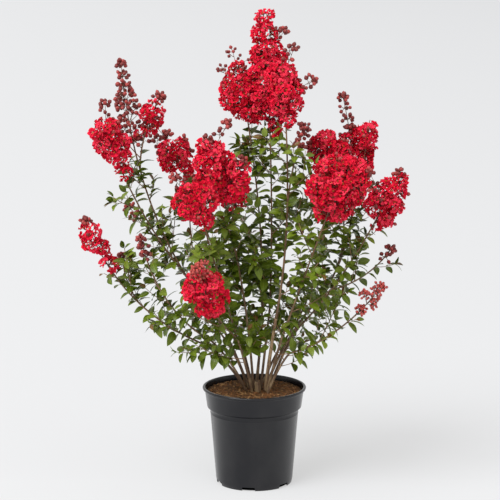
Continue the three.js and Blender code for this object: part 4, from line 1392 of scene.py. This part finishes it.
class Bloom:
    """The plant's flowers and buds, each a Blossom, and the shell of all their stalks."""

    def __init__(self):
        self.flowers, self.buds, self.stalks = [], [], Shell()

    def add_stalk(self, points):
        """A thin stalk that tapers."""
        last = len(points) - 1
        self.stalks.tube(points, [(1.05 - 0.35 * i / last) * MM for i in range(last + 1)], 3)

    def add_tuft(self, branch, rng, size, count, tints=("maroon", "maroon", "rosy")):
        """A tuft of buds on short stalks, round a branch's tip."""
        tip, along = branch.point(1), branch.tangent(1)
        start = rng.uniform(0, 360)
        for k in range(count):
            angle = 16 + 84 * math.sqrt(k / count)
            facing = splay(along, start + k * GOLDEN, angle + rng.uniform(-9, 9))
            at = tip + facing * TUFT["radius"] * rng.uniform(0.35, 0.8)
            self.add_stalk([tip, tip.lerp(at, 0.5), at + facing * 0.001])
            self.buds.append(Blossom(at, facing, size * rng.uniform(0.86, 1.06), rng.choice(tints)))

    def add_fresh_tuft(self, branch, rng, size, count):
        """A tuft of small buds, mostly fresh red ones."""
        self.add_tuft(branch, rng, size, count, ("fresh", "fresh", "rosy"))


def face_turn(facing, rng):
    """The turn that takes +Z to `facing`, with any turn round it."""
    return facing.to_track_quat("Z", "Y") @ Quaternion(UP, rng.uniform(0, 2 * math.pi))


def lobes(direction, height, seed, depth):
    """How the outline of a head swells and shrinks, as a factor on its reach."""
    place = Vector((direction.x * 1.9 + seed * 5.7, direction.y * 1.9, direction.z * 0.5 + height * 3.4))
    return min(1.08, 1.02 + depth * noise.noise(place))


class Head:
    """A flower head: a middle stem, a branch to every cluster of flowers, and buds above them."""

    def __init__(self, leader, seed, flower, bloom):
        radius, self.belly, self.roundness, self.open_share = leader.form
        self.line, self.length, self.full = leader.head, leader.head.length(), radius * MM
        self.seed, self.rng = seed, random.Random(seed)
        self.flower, self.bloom = flower, bloom
        self.places = []  # where its flowers stand
        self.ends = []  # the outer branches' tips, with their headings

    def reach_at(self, height, direction):
        ragged = 0.75 if height < self.belly else 0.5
        profile = head_profile(height, self.belly, self.roundness)
        return self.full * profile * lobes(direction, height, self.seed, ragged)

    def grow(self):
        shares = [i / 8 for i in range(9)]
        radii = [HEAD_FOOT * MM * (1 - 0.62 * share) for share in shares]
        self.bloom.stalks.tube([self.line.point(share) for share in shares], radii, 6)
        if self.open_share > 0.1:
            self.grow_layer(CLUSTER["radius"] * 1.35, CLUSTER["spacing"])
            self.grow_layer(CLUSTER["radius"] * 2.5, CLUSTER["spacing"] * 1.5, inner=True)
        if self.open_share > 0.9:
            top = self.line.point(1 - 1.5 * CLUSTER["radius"] / self.length)
            self.add_flowers(top, self.line.tangent(1))
        self.grow_loose_buds()
        self.grow_tip()

    def grow_layer(self, inward, spacing, inner=False):
        """Rows of clusters, so far within the head's outline. The inner layer fills the outer one, mostly in
        the deep red of painted shade.
        """
        rng, line = self.rng, self.line
        rows = max(1, round(self.length * self.open_share / CLUSTER["pitch"]))
        for row in range(rows):
            base = (row + 0.5) / rows * self.open_share
            radius = self.full * head_profile(base, self.belly, self.roundness) - inward
            count = max(1, round(2 * math.pi * max(0.005, radius) / spacing))
            for k in range(count):
                height = min(0.97, max(0.02, base + rng.uniform(-0.4, 0.4) * self.open_share / rows))
                turn = row * GOLDEN + 360 * (k + rng.uniform(-0.25, 0.25)) / count
                heading = splay(line.tangent(height), turn, BRANCH["open"] - BRANCH["upright"] * height)
                reach = self.reach_at(height, heading)
                if inner and reach < inward + 0.006:
                    continue
                if lobes(heading, height, self.seed, 1) < CLUSTER["gap"]:
                    continue
                centre = line.point(height) + heading * max(0.004, reach - inward)
                root = line.point(max(0, height - 0.35 * reach / self.length))
                bend = root.lerp(centre, 0.5) - UP * 0.12 * reach
                self.bloom.add_stalk(Line(root, bend, centre).points(0.016))
                if not inner:
                    self.ends.append((centre, heading))
                self.add_flowers(centre, heading, inner)

    def add_flowers(self, centre, heading, inner=False):
        """The flowers of one cluster, round the end of its branch and clear of those that are there."""
        rng = self.rng
        count = CLUSTER["inner_flowers" if inner else "flowers"]
        start = rng.uniform(0, 360)
        spread = CLUSTER["radius"] * rng.uniform(0.8, 1.2)
        for k in range(count):
            angle = math.degrees(math.acos(1 - CLUSTER["wrap"] * (k + 0.4) / count))
            facing = splay(heading, start + k * GOLDEN, angle)
            at = centre + facing * spread * rng.uniform(0.82, 1.12)
            if at.z > self.line.end.z - 0.3 * self.flower.width:
                continue
            if any((at - other).length < self.flower.spacing for other in self.places):
                continue
            self.places.append(at)
            facing = (facing + UP * 0.15 + jitter(rng, 0.35)).normalized()
            # Painted shade: the inner flowers are mostly deep red, and the outer ones have more of the
            # painted highlight.
            shares = SHADED_INNER_TINTS if inner else LIT_PETAL_TINTS
            tint = rng.choices(tuple(shares), tuple(shares.values()))[0]
            self.bloom.flowers.append(Blossom(at, facing, rng.uniform(0.82, 1.14), tint))
            self.bloom.add_stalk([centre, centre.lerp(at, 0.6) + facing * 0.001, at - facing * 0.003])

    def grow_loose_buds(self):
        """A few closed buds among the flowers."""
        rng = self.rng
        for end, out in self.ends:
            if rng.random() > LOOSE_BUDS:
                continue
            for _ in range(rng.choice((1, 2, 3))):
                facing = (out + jitter(rng, 0.8) + UP * 0.4).normalized()
                at = end + facing * rng.uniform(0.016, 0.028)
                self.bloom.add_stalk([end, end.lerp(at, 0.5), at])
                size, tint = rng.uniform(0.7, 0.95), rng.choice(("maroon", "rosy"))
                self.bloom.buds.append(Blossom(at, facing, size, tint))

    def grow_tip(self):
        """The closed part of the head, tufts of buds on short branches and one at its tip."""
        if self.open_share >= 0.97:
            return
        rng, line, bloom = self.rng, self.line, self.bloom
        young = line.end.z < YOUNG_HEAD and self.open_share > 0
        closed = 1 - self.open_share
        levels = max(1, round(self.length * closed / TUFT["pitch"]))
        for level in range(levels):
            height = self.open_share + closed * (level + 0.4) / levels
            girth = 2 * math.pi * self.reach_at(height, line.tangent(height))
            count = max(2, round(girth / TUFT["spacing"]))
            for k in range(count):
                turn = level * GOLDEN + 360 * k / count + rng.uniform(-22, 22)
                heading = splay(line.tangent(height), turn, BRANCH["closed"] - BRANCH["upright"] * height)
                reach = max(0.005, self.reach_at(height, heading) * rng.uniform(0.7, 1.2) - TUFT["radius"])
                root = line.point(height)
                branch = Line(root, root + heading * reach * 0.5, root + heading * reach + UP * 0.1 * reach)
                bloom.add_stalk(branch.points(0.012))
                if young:
                    bloom.add_fresh_tuft(branch, rng, 0.64, 8)
                else:
                    bloom.add_tuft(branch, rng, 1 - 0.14 * height, rng.choice((3, 4, 5)))
        top = line.part(max(0, 1 - 0.03 / self.length), 1 - 0.012 / self.length)
        if young:
            bloom.add_fresh_tuft(top, rng, 0.58, 12)
        else:
            bloom.add_tuft(top, rng, 0.9, 6)


def grow_sprig(start, heading, length, rng, bloom):
    """A sprig of closed buds: a tuft at its tip and two smaller ones below it."""
    small = length < SMALL_SPRIG
    sprig = shoot_line(start, heading, length * MM)
    bloom.add_stalk(sprig.points(0.012))
    bloom.add_tuft(sprig, rng, 0.78 if small else 0.98, 4 if small else 6)
    for at in (0.55, 0.8):
        side = splay(sprig.tangent(at), rng.uniform(0, 360), 55)
        root = sprig.point(at)
        branch = Line(root, root + side * 0.005, root + side * 0.009 + UP * 0.002)
        bloom.add_stalk(branch.points(0.006))
        bloom.add_tuft(branch, rng, 0.72 if small else 0.95, 2 if small else 3)


def grow_blooms(flower):
    """Every flower, bud and stalk of the plant's heads and sprigs."""
    bloom = Bloom()
    for index, cane in enumerate(canes):
        for i, leader in enumerate(cane.leaders, 1):
            Head(leader, 100 * index + i, flower, bloom).grow()
    for k, (cane, i, height, turn, rise, length) in enumerate(SPRIGS):
        start = cane_by_name[cane].leaders[i].head.point(height)
        grow_sprig(start, heading_of(turn, rise), length, random.Random(900 + k), bloom)
    return bloom


class CRAPE_OT_flowers(bpy.types.Operator):
    """Adds the flower heads: stalks, petals, cups, stamens and buds"""
    bl_idname = "crape.flowers"
    bl_label = "Flower heads"

    def execute(self, context):
        scene = context.scene
        bloom = grow_blooms(scene.crape_flower)
        finish = mottled("stalk_bark", scene.crape_wood.stalk, 0.6, 120.0, 0.5)
        new_piece("flower_stalks", bloom.stalks.mesh("flower_stalks"), finish)
        rng = random.Random(3)
        self.add_open_flowers(scene.crape_flower, bloom.flowers, rng)
        self.add_buds(scene.crape_bud, bloom.buds, rng)
        return {"FINISHED"}

    def add_open_flowers(self, settings, flowers, rng):
        heads = nodes_named("panicle_")
        spots = {tint: [] for tint in LIT_PETAL_TINTS}
        middles = []
        for at, facing, size, tint in flowers:
            turn = face_turn(facing, rng)
            spots[tint].append(Spot(at, turn, size, rng.randrange(FLOWER_KINDS)))
            middles.append(Spot(at, turn, size, 0))
        shapes = collection_of("flower", [flower_shape(60 + k, settings.width) for k in range(FLOWER_KINDS)])
        for tint, places in spots.items():
            # A material for each tint, the highlight red being painted highlight and the deep red painted
            # shade.
            finish = mottled("petal_" + tint, getattr(settings, tint), 0.62, 150.0, 0.75,
                             grain=(0.0008, 700.0), specular=0.08)
            grown_piece("petals_" + tint, places, shapes, finish,
                        replaced=heads if tint == "crimson" else ())
        cup = collection_of("cup", [cup_shape(settings.width)])
        grown_piece("flower_cups", middles, cup, mottled("cup", settings.cup, 0.6, 200.0, 0.5))
        heart = collection_of("heart", [heart_shape(settings.width)])
        grown_piece("stamens", middles, heart, mottled("heart", settings.heart, 0.7, 300.0, 0.6))

    def add_buds(self, settings, buds, rng):
        shapes = collection_of("bud", [bud_shape(k, settings.width) for k in range(BUD_KINDS)])
        for tint in ("maroon", "rosy", "fresh"):
            spots = [Spot(at, face_turn(facing, rng), size, rng.randrange(BUD_KINDS))
                     for at, facing, size, name in buds if name == tint]
            finish = mottled("bud_" + tint, getattr(settings, tint), 1.7, 260.0, 0.5, specular=0.3)
            grown_piece("buds_" + tint, spots, shapes, finish)


# ---------------------------------------------------------------- stage

CAMERA = {"at": (-0.011, -5.2, 1.59), "down": 10.75, "sensor": 36, "lens": 151.2, "near": 0.1, "far": 200}
FLOOR = {"half": 60.0, "level": -0.0005}
LIGHTS = {"key": (42, (38, -14, -30)), "fill": (80, (52, 0, 52))}  # each light's spread and turns, in degrees
SKY = (1.0, 0.995, 0.985)


def floor_material(settings):
    """Pale paper whose glow fades towards the back and the right."""
    material, shader, tree = new_material("floor_paper", 0.9, 0.0)
    shader.inputs["Base Color"].default_value = (*settings.floor, 1)
    shader.inputs["Emission Color"].default_value = (*settings.paper, 1)
    x, y, _ = add_node(tree, "ShaderNodeSeparateXYZ", {0: own_space(tree)}).outputs
    back = calc(tree, "MULTIPLY", calc(tree, "POWER", calc(tree, "MAXIMUM", y, 0.0), 0.5), settings.fade)
    side = calc(tree, "MULTIPLY", x, settings.lean)
    share = calc(tree, "SUBTRACT", calc(tree, "SUBTRACT", 1.0, back), side)
    tree.links.new(calc(tree, "MULTIPLY", share, settings.glow), shader.inputs["Emission Strength"])
    return material


class CRAPE_OT_stage(bpy.types.Operator):
    """Adds the pale floor, the soft lights and the camera"""
    bl_idname = "crape.stage"
    bl_label = "Stage"

    def execute(self, context):
        settings, scene = context.scene.crape_stage, context.scene
        self.add_floor(scene, settings)
        for name, (spread, turn) in LIGHTS.items():
            light = bpy.data.lights.new(name + "_light", "SUN")
            light.energy, light.angle = getattr(settings, name), math.radians(spread)
            lamp = bpy.data.objects.new(name + "_light", light)
            lamp.rotation_euler = [math.radians(angle) for angle in turn]
            scene.collection.objects.link(lamp)
        world = bpy.data.worlds.new("studio")
        world.use_nodes = True
        background = world.node_tree.nodes["Background"]
        background.inputs["Color"].default_value = (*SKY, 1)
        background.inputs["Strength"].default_value = settings.sky
        scene.world = world
        self.add_camera(scene)
        scene.view_settings.view_transform = "Standard"
        return {"FINISHED"}

    def add_floor(self, scene, settings):
        half, level = FLOOR["half"], FLOOR["level"]
        shell = Shell()
        shell.add([(x, y, level) for x, y in ((-half, -half), (half, -half), (half, half), (-half, half))],
                  [[0, 1, 2, 3]])
        floor = bpy.data.objects.new("floor", shell.mesh("floor"))
        floor.data.materials.append(floor_material(settings))
        scene.collection.objects.link(floor)

    def add_camera(self, scene):
        camera = bpy.data.cameras.new("camera")
        camera.sensor_width, camera.lens = CAMERA["sensor"], CAMERA["lens"]
        camera.clip_start, camera.clip_end = CAMERA["near"], CAMERA["far"]
        eye = bpy.data.objects.new("camera", camera)
        eye.location = CAMERA["at"]
        eye.rotation_euler = (math.radians(90 - CAMERA["down"]), 0, 0)
        scene.collection.objects.link(eye)
        scene.camera = eye


# ---------------------------------------------------------------- panel and registration

SETTINGS = {
    "crape_pot": PotSettings, "crape_mix": MixSettings, "crape_wood": WoodSettings,
    "crape_leaf": LeafSettings, "crape_flower": FlowerSettings, "crape_bud": BudSettings,
    "crape_stage": StageSettings,
}
OPERATORS = (CRAPE_OT_pot, CRAPE_OT_mix, CRAPE_OT_canes, CRAPE_OT_twigs, CRAPE_OT_leaves, CRAPE_OT_flowers,
             CRAPE_OT_stage)


class CRAPE_PT_panel(bpy.types.Panel):
    """Lists the settings and the pieces of the plant"""
    bl_idname = "CRAPE_PT_panel"
    bl_label = "Crape myrtle"
    bl_space_type = "VIEW_3D"
    bl_region_type = "UI"
    bl_category = "Crape myrtle"

    def draw(self, context):
        for name, group in SETTINGS.items():
            box = self.layout.box()
            for key in group.__annotations__:
                box.prop(getattr(context.scene, name), key)
        for operator in OPERATORS:
            self.layout.operator(operator.bl_idname)


def register():
    for group in SETTINGS.values():
        bpy.utils.register_class(group)
    for cls in (*OPERATORS, CRAPE_PT_panel):
        bpy.utils.register_class(cls)
    for name, group in SETTINGS.items():
        setattr(bpy.types.Scene, name, PointerProperty(type=group))


def unregister():
    for name in SETTINGS:
        delattr(bpy.types.Scene, name)
    for cls in (CRAPE_PT_panel, *reversed(OPERATORS), *reversed(SETTINGS.values())):
        bpy.utils.unregister_class(cls)


def main():
    register()
    bpy.ops.crape.stage()
    bpy.ops.crape.pot()
    bpy.ops.crape.mix()
    bpy.ops.crape.canes()
    bpy.ops.crape.twigs()
    bpy.ops.crape.leaves()
    bpy.ops.crape.flowers()
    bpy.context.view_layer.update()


if __name__ == "__main__":
    main()
